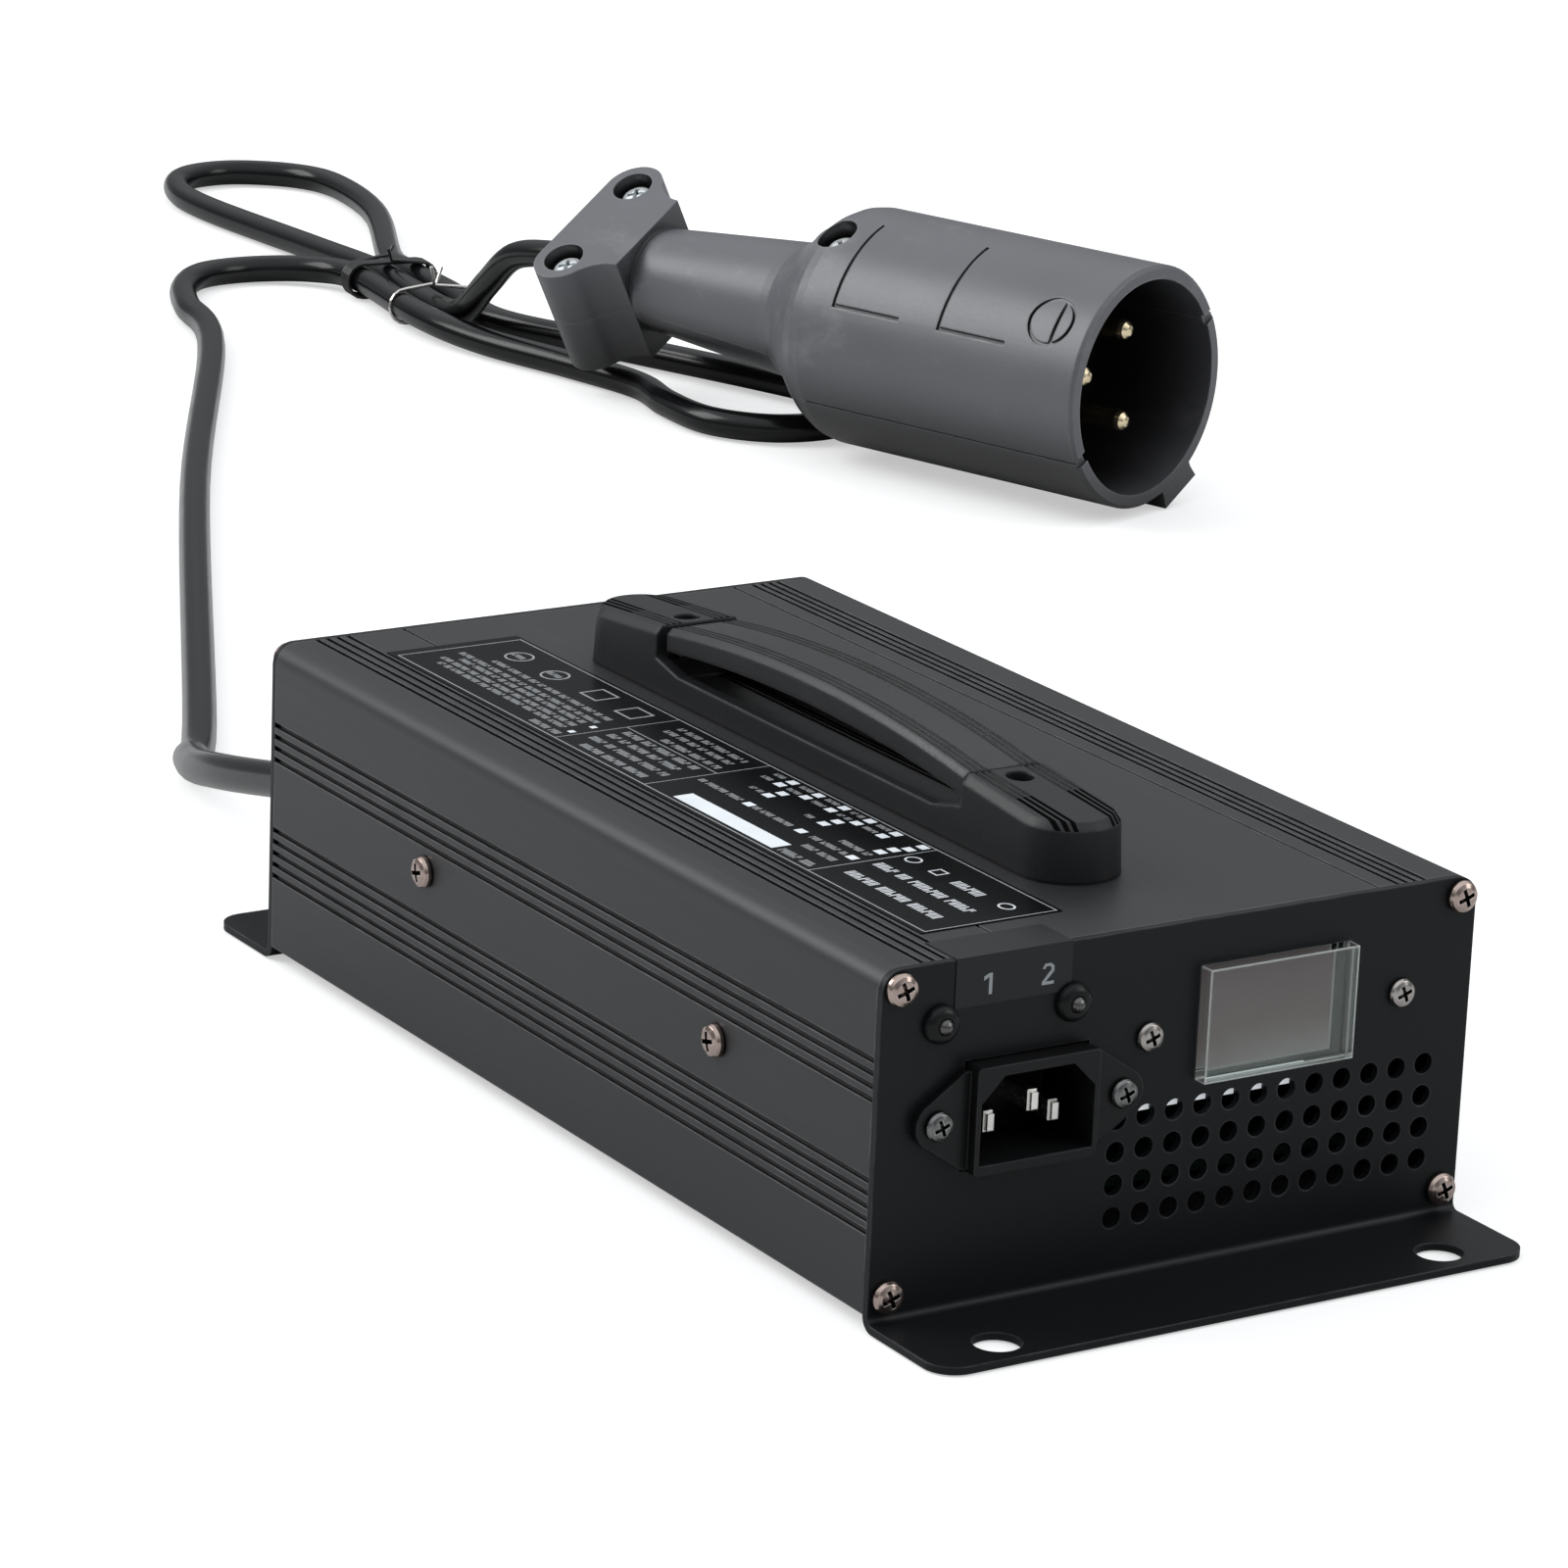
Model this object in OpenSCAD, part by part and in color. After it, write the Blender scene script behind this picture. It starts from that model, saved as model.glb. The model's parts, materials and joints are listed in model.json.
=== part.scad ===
// Lead-acid battery charger with an extruded case, two folded end panels, a strap
// handle, a power inlet, a charge display, a cooling fan and a cord with a round plug.
// X runs across the panels, Y along the case with the inlet panel at -Y, Z is up.

/* [Case] */
// Width of the extruded case
case_w = 132; // [128:1:142]
// Length over the outer faces of the two panels
case_l = 230; // [222:1:250]
// Height of the top face over the floor
case_top = 68; // [67:0.5:74]
// Gap between the case and the floor
case_lift = 3; // [3:0.1:4]
// Thickness of the side and top walls
case_wall = 2.6; // [2.4:0.1:3]
// Radius of the two long top edges
case_corner_r = 4.5; // [3.5:0.1:5.5]
// Width of each long groove
groove_w = 1.1; // [0.8:0.1:1.3]
// Depth of each long groove
groove_d = 0.9; // [0.5:0.1:1.2]
// Distance between neighbouring side grooves
groove_pitch = 2.45; // [2.2:0.05:2.5]

/* [Panels] */
// Thickness of the folded sheet
sheet_t = 1.5; // [1.2:0.1:2]
// Reach of each foot out from its panel
foot_reach = 24.5; // [22:0.5:30]
// Diameter of the four foot holes
foot_hole_d = 9.2; // [6:0.2:10]
// Distance between the two holes of one foot
foot_hole_span = 99; // [90:1:104]
// Diameter of the vent holes
vent_d = 4.1; // [3:0.1:4.8]
// Distance between neighbouring vent holes
vent_pitch = 6.35; // [6:0.05:6.4]

/* [Inlet and display] */
// Sideways place of the power inlet
inlet_x = -34.1; // [-35:0.1:-33.5]
// Distance between the two inlet screws
inlet_screw_span = 40; // [39:0.5:41]
// Reach of the inlet block out from the panel
inlet_proud = 4.3; // [3:0.1:6]
// Width of the display glass
glass_w = 33.6; // [30:0.2:36]
// Height of the display glass
glass_h = 21.9; // [19:0.1:23]
// Reach of the glass out from the panel
glass_proud = 2.8; // [1:0.1:4]

/* [Handle] */
// Length of the handle base
handle_l = 173; // [170:1:185]
// Width of the handle base
handle_w = 20.8; // [20:0.2:24]
// Distance between the two handle screws
handle_screw_span = 120; // [118:1:124]
// Rise of the strap in its middle
strap_rise = 3.8; // [2:0.2:6]
// Thickness of the strap
strap_t = 4.6; // [4:0.1:5]

/* [Fan] */
// Side of the square fan frame
fan_size = 50; // [46:1:52]
// Depth of the fan frame
fan_depth = 15; // [13:0.5:18]
// Gap between the blade tips and the frame
fan_tip_gap = 0.8; // [0.5:0.1:1.5]

/* [Cord and plug] */
// Diameter of the output cord
cord_d = 8; // [7:0.1:8.4]
// Length of the tapered cord guard
guard_l = 32; // [24:1:34]
// Diameter of the plug barrel
plug_d = 66; // [60:0.5:70]
// Wall of the plug shells
plug_wall = 3.8; // [3:0.1:4.2]
// Depth of the plug mouth
plug_mouth_depth = 38; // [30:1:42]
// Diameter of the three plug pins
plug_pin_d = 5.6; // [4:0.2:6.4]

/* [Clearances] */
// Radial gap between the fan pin and the rotor bore
run_gap = 0.06; // [0.04:0.01:0.1]
// Gap around pieces that pass through a cut-out
fit_gap = 0.2; // [0.1:0.05:0.3]
// Radial gap around screws
screw_gap = 0.1; // [0.05:0.05:0.2]

/* [Hidden] */
$fn = 48;
far = 400;
half_w = case_w / 2;
half_l = case_l / 2;
inner_y = half_l - sheet_t;
bottom_wall = 2.2;
port_x = half_w - 3.8;
port_top_z = case_top - 3.7;
port_r = 3.6;
panel_screw_d = 2.9;
screw_head_d = 6.3;
screw_head_h = 2.2;
panel_screw_l = 11;
side_groove_low = 18.1;
side_groove_high = 43.1;
top_groove_left = half_w - 17.1;
top_groove_right = half_w - 17.9;
top_groove_pitch_left = 2.4;
top_groove_pitch_right = 2.05;
step_line_left = -36.8;
step_line_right = 43.5;
board_z = case_lift + 7.7;
board_t = 1.6;
board_slot_gap = 0.1;
rail_t = 0.9;
rail_reach = 2.5;
side_screw_front = -61.1;
side_screw_rear = 49.3;
side_screw_z = 38.2;
side_screw_d = 3;
side_head_d = 6.4;
foot_corner_r = 6;
foot_hole_out = 17.2;
bend_r = 1.5;
port_low_z = sheet_t + bend_r + screw_head_d / 2 + 0.15;
// inlet
inlet_z = 38;
inlet_w = 26.6;
inlet_h = 20.6;
inlet_mouth_w = 24.6;
inlet_mouth_h = 16.6;
inlet_mouth_cut = 4.8;
inlet_mouth_depth = 17;
inlet_back = 3;
inlet_ear_t = 2;
inlet_ear_r = 4.6;
inlet_ear_x = 14.5;
inlet_ear_z = 9.3;
inlet_screw_d = 3;
inlet_head_d = 5.6;
blade_w = 2;
blade_h = 4;
blade_x = 7;
blade_low_z = -2.2;
blade_high_z = 1.9;
blade_set_back = 4.6;
earth_set_back = 1.2;
tab_w = 4.8;
tab_t = 0.8;
tab_l = 8;
// indicator lamps
led_left_x = -53.4;
led_right_x = -25;
led_z = 56.5;
led_d = 3;
led_ring_d = 7.4;
led_body_d = 5.2;
strip_left = -50.5;
strip_w = 25;
strip_low = 58.8;
strip_fold = 10;
film_t = 0.2;
// display
glass_x = 3.7;
glass_z = 37;
glass_t = 3.4;
face_left = 4.1;
face_w = 29.2;
face_low = 38.8;
face_h = 19.7;
board_gap = 2.7;
display_board_x = -12.4;
display_board_w = 67;
display_board_low = 33.2;
display_board_h = 27;
display_board_t = 1.4;
display_screw_left = -7.6;
display_screw_right = 49.6;
display_screw_z = 47.2;
display_screw_d = 3;
// vents
vent_left = -13.5;
vent_low = 13;
vent_columns = 12;
vent_rows = 4;
// handle
handle_x = -2.6;
handle_y = -3;
handle_top_end = 11.6;
handle_top_gap = 13.6;
rim_z = 5.3;
rim_end_z = 7.2;
draft = 0.5;
recess_in = 3;
recess_floor = 2.4;
near_block = 4.4;
far_block = 3.9;
near_strap = 5.5;
far_strap = 7.1;
near_face = handle_y - handle_screw_span / 2 + near_block;
far_face = handle_y + handle_screw_span / 2 - far_block;
strap_near = handle_y - handle_screw_span / 2 + near_strap;
strap_far = handle_y + handle_screw_span / 2 - far_strap;
strap_w = 17.6;
tongue_t = 2;
tongue_low = 8.2;
tongue_w = 14;
tongue_l = 12.5;
handle_hole_d = 5.6;
handle_screw_d = 3.6;
handle_head_d = 5.2;
handle_head_h = 3.2;
handle_head_z = 6.6;
handle_groove_first = 4.2;
handle_groove_pitch = 1.4;
handle_groove_w = 0.5;
handle_groove_depth = 0.5;
// case label
label_margin = 17.7;
label_gap = 4.7;
label_left = label_margin - half_w;
label_w = handle_x - handle_w / 2 - label_gap - label_left;
label_near = -100.2;
label_l = 199;
// fan
fan_x = 14;
fan_z = 35.5;
fan_bore_r = fan_size / 2 - 1.6;
fan_hole_span = fan_size - 10;
fan_screw_d = 3.2;
fan_head_d = 5.8;
fan_disc_r = 9.6;
fan_disc_t = 2.4;
fan_strut_w = 2.4;
fan_pin_d = 3;
fan_pin_l = 9.5;
fan_hub_l = 10.6;
fan_hub_gap = 0.5;
fan_blade_t = 1.1;
fan_blade_count = 7;
fan_blade_twist = 34;
// cord
cord_x = -42;
cord_z = 26;
cord_sides = 8;
cord_floor = cord_d / 2;
tie_wire = 1.2;
tie_gap = 0.4;
tie_lift = cord_floor + tie_wire + tie_gap + 0.1;
guard_root_d = 12.6;
guard_tip_d = 10.4;
guard_collar_d = 16;
guard_collar_l = 3;
guard_hole_d = 12;
// plug
plug_x = 314.3;
plug_y = 341;
plug_turn = 18;
plug_roll = 30;
barrel_r = plug_d / 2;
barrel_l = 94;
shoulder_l = 26;
neck_r = 19;
neck_end_r = 14.8;
neck_end = 168;
plug_l = 200;
split_gap = 0.1;
ear_span = 33;
ear_r = 8.9;
ear_top = 17;
ear_u = 188;
ear_fillet = 12;
ear_pocket_d = 11.6;
ear_pocket = 5.5;
plug_screw_d = 4.4;
plug_head_d = 9;
plug_head_h = 2.8;
shoulder_screw_u = 95;
shoulder_pocket_d = 11.8;
shoulder_pocket_n = 25.6;
post_r = 6;
key_half = 6.5;
key_flare = 0.8;
key_l = 12;
key_reach = 3.6;
key_top = barrel_r + key_reach;
plug_z = key_top * cos(plug_roll) + (key_half + key_flare) * sin(plug_roll) + 0.1;
carrier_l = 26;
pin_tip = 8;
pin_places = [[9, 10.5], [-11, 10.5], [-3, -11.5]];
mark_w = 1;
mark_depth = 0.7;
mark_low = 129;
mark_high = 78;
mark_l = 23;
mark_places = [84, 48];
mark_ring_r = 7.2;
// inside
main_can_r = 11;
main_can_h = 34;
main_can_places = [[34, 38], [34, 63]];
small_can_r = 6.3;
small_can_h = 20;
slim_can_r = 5;
slim_can_h = 16;
small_cans = [[36, -60, small_can_r, small_can_h], [36, -44, small_can_r, small_can_h],
  [-14, 26, slim_can_r, slim_can_h], [-1, 26, slim_can_r, slim_can_h], [-30, -10, small_can_r, small_can_h]];
sheet_margin = 5.4;
board_near = 17;
board_far = 22;
board_top = board_z + board_t;
bar_t = 6;
bar_low = 20;
bar_h = 32;
bar_near = -80;
bar_l = 155;
device_y = [-40, -10, 20];
device_w = 15.6;
device_t = 4.8;
device_h = 20;
device_low = 25;
core_x = 6;
core_y = -18;
core_w = 40;
core_h = 33;
core_t = 14;
leg_w = 12;
window_w = 8.6;
window_h = 22;
core_low = board_top + 3;
plug_cos = cos(plug_turn);
plug_sin = sin(plug_turn);

function plug_point(u, side, z) =
  [plug_x - plug_sin * u + plug_cos * side, plug_y + plug_cos * u + plug_sin * side, z];

tie_dir = [7, 53, 0];
black_tie_at = [254.6, 650, tie_lift];
zinc_tie_at = [249.8, 613, tie_lift];

route = [
  [cord_x, half_l + guard_l, cord_z],
  [-37, half_l + guard_l + 46, 15],
  [-27, 227, 7],
  [-8, 260, cord_floor],
  [90, 455, cord_floor],
  [168, 598, cord_floor],
  [184.2, 645.2, cord_floor],
  [194.7, 667.9, cord_floor],
  [207.8, 681, cord_floor],
  [226.2, 682.6, cord_floor],
  [241.3, 672, cord_floor + 0.8],
  [246, 653, tie_lift],
  [239, 603, tie_lift],
  [242.5, 572, cord_floor + 0.4],
  [252, 538, cord_floor],
  [257.5, 508, cord_floor],
  [254, 486, cord_floor],
  [254.6, 464, cord_floor],
  [266.5, 449.3, cord_floor],
  [285, 447, cord_floor],
  [299.5, 459, cord_floor],
  [302.5, 481, cord_floor],
  [278, 547, cord_floor],
  [260.3, 583, cord_floor + 0.7],
  [257.3, 601, tie_lift],
  [261.2, 624, tie_lift],
  [264, 654, tie_lift],
  [272, 681, cord_floor],
  [298, 738, cord_floor],
  [307.2, 779, cord_floor],
  [303, 800, cord_floor],
  [286, 813.2, cord_floor],
  [267.5, 810.5, cord_floor],
  [256.2, 794, cord_floor],
  [252.5, 765, cord_floor],
  [256, 698, cord_floor + 0.4],
  [255, 655, tie_lift],
  [248.9, 607.5, tie_lift],
  [246.6, 589.5, 9.5],
  [245.8, 575, 20.5],
  [246.2, 560.4, plug_z - 4],
  plug_point(plug_l + 12, 0, plug_z),
  plug_point(plug_l, 0, plug_z)
];

// One point of a smooth curve through four route points
function curve(a, b, c, d, t) = 0.5 * (2 * b + (c - a) * t
  + (2 * a - 5 * b + 4 * c - d) * t * t + (3 * b - a - 3 * c + d) * t * t * t);
function clamp_index(p, i) = p[max(0, min(len(p) - 1, i))];
function smooth(p) = [for (i = [0 : len(p) - 2], k = [0 : 1])
  curve(clamp_index(p, i - 1), p[i], p[i + 1], clamp_index(p, i + 2), k / 2), p[len(p) - 1]];
function unit(v) = v / norm(v);
function along(p, i) = unit(clamp_index(p, i + 1) - clamp_index(p, i - 1));
function sideways(t, up) = unit(cross(up, t));
function ring(c, t, r, n, up) = [for (k = [0 : n - 1])
  c + r * (cos(360 * k / n) * sideways(t, up) + sin(360 * k / n) * cross(t, sideways(t, up)))];
function flat_list(l) = [for (a = l, b = a) b];

// Round tube through the points of a path with given directions at its two ends
module tube(path, r, n, first, last, up = [0, 0, 1]) {
  count = len(path);
  dirs = [for (i = [0 : count - 1]) i == 0 ? first : i == count - 1 ? last : along(path, i)];
  points = flat_list([for (i = [0 : count - 1]) ring(path[i], dirs[i], r, n, up)]);
  sides = [for (i = [0 : count - 2], k = [0 : n - 1])
    [i * n + k, (i + 1) * n + k, (i + 1) * n + (k + 1) % n, i * n + (k + 1) % n]];
  start = [for (k = [0 : n - 1]) k];
  end = [for (k = [n - 1 : -1 : 0]) (count - 1) * n + k];
  polyhedron(points, concat(sides, [start, end]), convexity = 10);
}

// Solid between two distances along Y, drawn in X and Z
module along_y(from, to) {
  translate([0, to, 0])
    rotate([90, 0, 0])
      linear_extrude(to - from)
        children();
}

// Rectangle in X and Z between two corners
module rect(x0, z0, x1, z1) {
  translate([x0, z0])
    square([x1 - x0, z1 - z0]);
}

// Rectangle with four round corners
module round_rect(x0, z0, x1, z1, r) {
  rect(x0 + r, z0, x1 - r, z1);
  rect(x0, z0 + r, x1, z1 - r);
  for (x = [x0 + r, x1 - r], z = [z0 + r, z1 - r])
    translate([x, z])
      circle(r);
}

// Cross-recess screw standing on the origin, shank pointing down
module cross_screw(head_d, head_h, shank_d, shank_l) {
  r = head_d / 2;
  difference() {
    rotate_extrude()
      polygon([[0, -shank_l], [shank_d / 2 - 0.3, -shank_l], [shank_d / 2, -shank_l + 0.4],
        [shank_d / 2, 0], [r - 0.15, 0], [r, 0.2], [r, head_h * 0.45],
        [r * 0.88, head_h * 0.75], [r * 0.62, head_h * 0.93], [r * 0.3, head_h], [0, head_h]]);
    for (a = [0, 90])
      rotate([0, 0, a])
        translate([-head_d * 0.29, -head_d * 0.065, head_h * 0.4])
          cube([head_d * 0.58, head_d * 0.13, head_h]);
  }
}

// Screw heads on the inlet panel side, at a depth and a place in X and Z
module front_screw(x, z, y, head_d, head_h, shank_d, shank_l) {
  translate([x, y, z])
    rotate([90, 0, 0])
      rotate([0, 0, 20])
        cross_screw(head_d, head_h, shank_d, shank_l);
}

module rear_screw(x, z, y, head_d, head_h, shank_d, shank_l) {
  translate([x, y, z])
    rotate([-90, 0, 0])
      rotate([0, 0, 35])
        cross_screw(head_d, head_h, shank_d, shank_l);
}

module case_outline() {
  rect(-half_w, case_lift, half_w, case_top - case_corner_r);
  rect(-half_w + case_corner_r, case_lift, half_w - case_corner_r, case_top);
  for (x = [-1, 1])
    translate([x * (half_w - case_corner_r), case_top - case_corner_r])
      circle(case_corner_r);
}

module case_grooves() {
  for (side = [-1, 1], i = [0 : 3])
    translate([side * half_w - groove_d, side_groove_high + i * groove_pitch])
      square([2 * groove_d, groove_w]);
  for (side = [-1, 1], i = [0 : 4])
    translate([side * half_w - groove_d, side_groove_low + i * groove_pitch])
      square([2 * groove_d, groove_w]);
  for (i = [0 : 3])
    translate([-top_groove_left - i * top_groove_pitch_left - groove_w, case_top - groove_d])
      square([groove_w, 2 * groove_d]);
  for (i = [0 : 3])
    translate([top_groove_right + i * top_groove_pitch_right, case_top - groove_d])
      square([groove_w, 2 * groove_d]);
  for (x = [step_line_left, step_line_right])
    translate([x, case_top - 0.4])
      square([0.7, 1]);
}

module case_section() {
  difference() {
    union() {
      difference() {
        case_outline();
        rect(-half_w + case_wall, case_lift + bottom_wall, half_w - case_wall, case_top - case_wall);
        case_grooves();
      }
      intersection() {
        case_outline();
        for (x = [-port_x, port_x], z = [port_low_z, port_top_z])
          translate([x, z])
            circle(port_r);
      }
      for (side = [-1, 1], z = [board_z - board_slot_gap - rail_t, board_z + board_t + board_slot_gap])
        translate([side * (half_w - case_wall - rail_reach / 2), z + rail_t / 2])
          square([rail_reach + 0.2, rail_t], center = true);
    }
    for (x = [-port_x, port_x], z = [port_low_z, port_top_z])
      translate([x, z])
        circle(panel_screw_d / 2 + screw_gap);
  }
}

module case_extrusion() {
  color([0.16, 0.165, 0.17])
    difference() {
      along_y(-inner_y, inner_y)
        case_section();
      for (side = [-1, 1], y = [side_screw_front, side_screw_rear])
        translate([side * (half_w - case_wall / 2), y, side_screw_z])
          rotate([0, 90, 0])
            cylinder(h = 2 * case_wall, d = side_screw_d + 2 * screw_gap, center = true);
      for (s = [-1, 1])
        translate([handle_x, handle_y + s * handle_screw_span / 2, case_top - 2 * case_wall])
          cylinder(h = 3 * case_wall, d = handle_screw_d + 2 * screw_gap);
    }
}

// Folded sheet with its foot reaching out to -Y
module folded_sheet() {
  difference() {
    union() {
      along_y(-half_l, -inner_y)
        case_panel_outline();
      translate([-half_w, 0, 0])
        rotate([90, 0, 90])
          linear_extrude(case_w)
            difference() {
              translate([-half_l - bend_r, 0])
                square([bend_r + sheet_t, bend_r + sheet_t]);
              translate([-half_l - bend_r, bend_r + sheet_t])
                circle(bend_r);
              difference() {
                translate([-half_l - bend_r, -1])
                  square([bend_r + 2 * sheet_t, bend_r + sheet_t + 1]);
                translate([-half_l - bend_r, bend_r + sheet_t])
                  circle(bend_r + sheet_t);
              }
            }
      linear_extrude(sheet_t)
        difference() {
          union() {
            translate([-half_w, -half_l - foot_reach + foot_corner_r])
              square([case_w, foot_reach - foot_corner_r - bend_r]);
            translate([-half_w + foot_corner_r, -half_l - foot_reach])
              square([case_w - 2 * foot_corner_r, foot_corner_r + 1]);
            for (x = [-1, 1])
              translate([x * (half_w - foot_corner_r), -half_l - foot_reach + foot_corner_r])
                circle(foot_corner_r);
          }
          for (x = [-1, 1])
            translate([x * foot_hole_span / 2, -half_l - foot_hole_out])
              circle(foot_hole_d / 2);
        }
    }
    for (x = [-port_x, port_x], z = [port_low_z, port_top_z])
      translate([x, -half_l - 1, z])
        rotate([-90, 0, 0])
          cylinder(h = sheet_t + 2, d = panel_screw_d + 2 * screw_gap);
  }
}

module case_panel_outline() {
  rect(-half_w, bend_r + sheet_t, half_w, case_top - case_corner_r);
  rect(-half_w + case_corner_r, bend_r + sheet_t, half_w - case_corner_r, case_top);
  for (x = [-1, 1])
    translate([x * (half_w - case_corner_r), case_top - case_corner_r])
      circle(case_corner_r);
}

// Hole straight through a panel, its place in X and Z
module panel_hole(x, z, d) {
  translate([x, -half_l - 1, z])
    rotate([-90, 0, 0])
      cylinder(h = sheet_t + 2, d = d, $fn = 32);
}

module front_panel() {
  color([0.15, 0.155, 0.16])
    difference() {
      folded_sheet();
      along_y(-half_l - 1, -inner_y + 1) {
        rect(inlet_x - inlet_w / 2 - fit_gap, inlet_z - inlet_h / 2 - fit_gap,
          inlet_x + inlet_w / 2 + fit_gap, inlet_z + inlet_h / 2 + fit_gap);
        rect(glass_x - fit_gap, glass_z - fit_gap, glass_x + glass_w + fit_gap,
          glass_z + glass_h + fit_gap);
      }
      for (s = [-1, 1])
        panel_hole(inlet_x + s * inlet_screw_span / 2, inlet_z, inlet_screw_d + 2 * screw_gap);
      for (x = [led_left_x, led_right_x])
        panel_hole(x, led_z, led_body_d + 2 * screw_gap);
      for (x = [display_screw_left, display_screw_right])
        panel_hole(x, display_screw_z, display_screw_d + 2 * screw_gap);
      for (i = [0 : vent_columns - 1], k = [0 : vent_rows - 1])
        panel_hole(vent_left + i * vent_pitch, vent_low + k * vent_pitch, vent_d);
    }
}

module rear_panel() {
  color([0.15, 0.155, 0.16])
    difference() {
      rotate([0, 0, 180])
        folded_sheet();
      rotate([0, 0, 180]) {
        panel_hole(-cord_x, cord_z, guard_hole_d + 2 * fit_gap);
        for (x = [-1, 1], z = [-1, 1])
          panel_hole(-fan_x + x * fan_hole_span / 2, fan_z + z * fan_hole_span / 2,
            fan_screw_d + 2 * screw_gap);
        for (i = [-3 : 3], k = [-3 : 3])
          if (norm([i, k]) * vent_pitch < fan_bore_r - 2)
            panel_hole(-fan_x + i * vent_pitch, fan_z + k * vent_pitch, vent_d);
      }
    }
}

module front_panel_screws() {
  color([0.72, 0.66, 0.63])
    for (x = [-port_x, port_x], z = [port_low_z, port_top_z])
      front_screw(x, z, -half_l, screw_head_d, screw_head_h, panel_screw_d, panel_screw_l);
}

module rear_panel_screws() {
  color([0.72, 0.66, 0.63])
    for (x = [-port_x, port_x], z = [port_low_z, port_top_z])
      rear_screw(x, z, half_l, screw_head_d, screw_head_h, panel_screw_d, panel_screw_l);
}

module side_screws() {
  color([0.72, 0.62, 0.5])
    for (side = [-1, 1], y = [side_screw_front, side_screw_rear])
      translate([side * half_w, y, side_screw_z])
        rotate([0, side * 90, 0])
          rotate([0, 0, 15])
            cross_screw(side_head_d, 2.2, side_screw_d, case_wall + 5);
}

module inlet_ears() {
  reach = norm([inlet_screw_span / 2 - inlet_ear_x, inlet_ear_z]);
  turn = atan2(inlet_ear_z, inlet_ear_x - inlet_screw_span / 2) - acos(inlet_ear_r / reach);
  tx = inlet_screw_span / 2 + inlet_ear_r * cos(turn);
  tz = inlet_ear_r * sin(turn);
  for (s = [-1, 1])
    translate([s * inlet_screw_span / 2, 0])
      circle(inlet_ear_r);
  polygon([[inlet_ear_x, inlet_ear_z], [tx, tz], [tx, -tz], [inlet_ear_x, -inlet_ear_z],
    [-inlet_ear_x, -inlet_ear_z], [-tx, -tz], [-tx, tz], [-inlet_ear_x, inlet_ear_z]]);
}

module inlet_mouth() {
  w = inlet_mouth_w / 2;
  h = inlet_mouth_h / 2;
  c = inlet_mouth_cut;
  polygon([[-w, -h], [w, -h], [w, h - c], [w - c, h], [-w + c, h], [-w, h - c]]);
}

module inlet_body() {
  face = -half_l - inlet_proud;
  color([0.07, 0.07, 0.075])
    difference() {
      translate([inlet_x, 0, inlet_z]) {
        along_y(face, face + inlet_mouth_depth + inlet_back)
          round_rect(-inlet_w / 2, -inlet_h / 2, inlet_w / 2, inlet_h / 2, 1);
        along_y(-half_l - inlet_ear_t, -half_l)
          inlet_ears();
      }
      translate([inlet_x, 0, inlet_z]) {
        along_y(face - 1, face + inlet_mouth_depth)
          inlet_mouth();
        for (s = [-1, 1])
          translate([s * inlet_screw_span / 2, -half_l - inlet_ear_t - 1, 0])
            rotate([-90, 0, 0])
              cylinder(h = inlet_ear_t + 2, d = inlet_screw_d + 2 * screw_gap, $fn = 32);
      }
      for (p = [[-blade_x, blade_low_z], [0, blade_high_z], [blade_x, blade_low_z]])
        translate([inlet_x + p[0], face + inlet_mouth_depth, inlet_z + p[1]])
          cube([blade_w, 3 * inlet_back, blade_h], center = true);
    }
}

module inlet_blades() {
  face = -half_l - inlet_proud;
  color([0.78, 0.79, 0.8])
    for (p = [[-blade_x, blade_low_z, blade_set_back], [0, blade_high_z, earth_set_back],
      [blade_x, blade_low_z, blade_set_back]])
      translate([inlet_x + p[0], 0, inlet_z + p[1]]) {
        along_y(face + p[2] + 1, face + inlet_mouth_depth + inlet_back)
          square([blade_w, blade_h], center = true);
        along_y(face + p[2], face + p[2] + 1)
          square([blade_w - 0.6, blade_h - 0.8], center = true);
        along_y(face + inlet_mouth_depth + inlet_back, face + inlet_mouth_depth + inlet_back + tab_l)
          square([tab_t, tab_w], center = true);
      }
}

module inlet_screws() {
  color([0.6, 0.6, 0.6])
    for (s = [-1, 1])
      front_screw(inlet_x + s * inlet_screw_span / 2, inlet_z, -half_l - inlet_ear_t,
        inlet_head_d, 1.7, inlet_screw_d, 8);
}

// Hexagon nut behind the inlet panel
module panel_nut(x, z, y, d) {
  translate([x, y, z])
    rotate([-90, 0, 0])
      difference() {
        cylinder(h = 2.4, r = 3.1, $fn = 6);
        translate([0, 0, -1])
          cylinder(h = 5, d = d + 2 * screw_gap, $fn = 32);
      }
}

module inlet_nuts() {
  color([0.7, 0.7, 0.7])
    for (s = [-1, 1])
      panel_nut(inlet_x + s * inlet_screw_span / 2, inlet_z, -inner_y, inlet_screw_d);
}

module led_holders() {
  color([0.05, 0.05, 0.05])
    for (x = [led_left_x, led_right_x])
      translate([x, -half_l, led_z])
        rotate([90, 0, 0])
          rotate_extrude()
            polygon([[led_d / 2 + 0.1, -7], [led_body_d / 2, -7], [led_body_d / 2, 0],
              [led_ring_d / 2, 0], [led_ring_d / 2, 0.7], [led_ring_d / 2 - 0.2, 1.2],
              [led_ring_d / 2 - 0.6, 1.7], [led_ring_d / 2 - 1.2, 2.05], [led_d / 2 + 0.1, 2.2]]);
}

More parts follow.
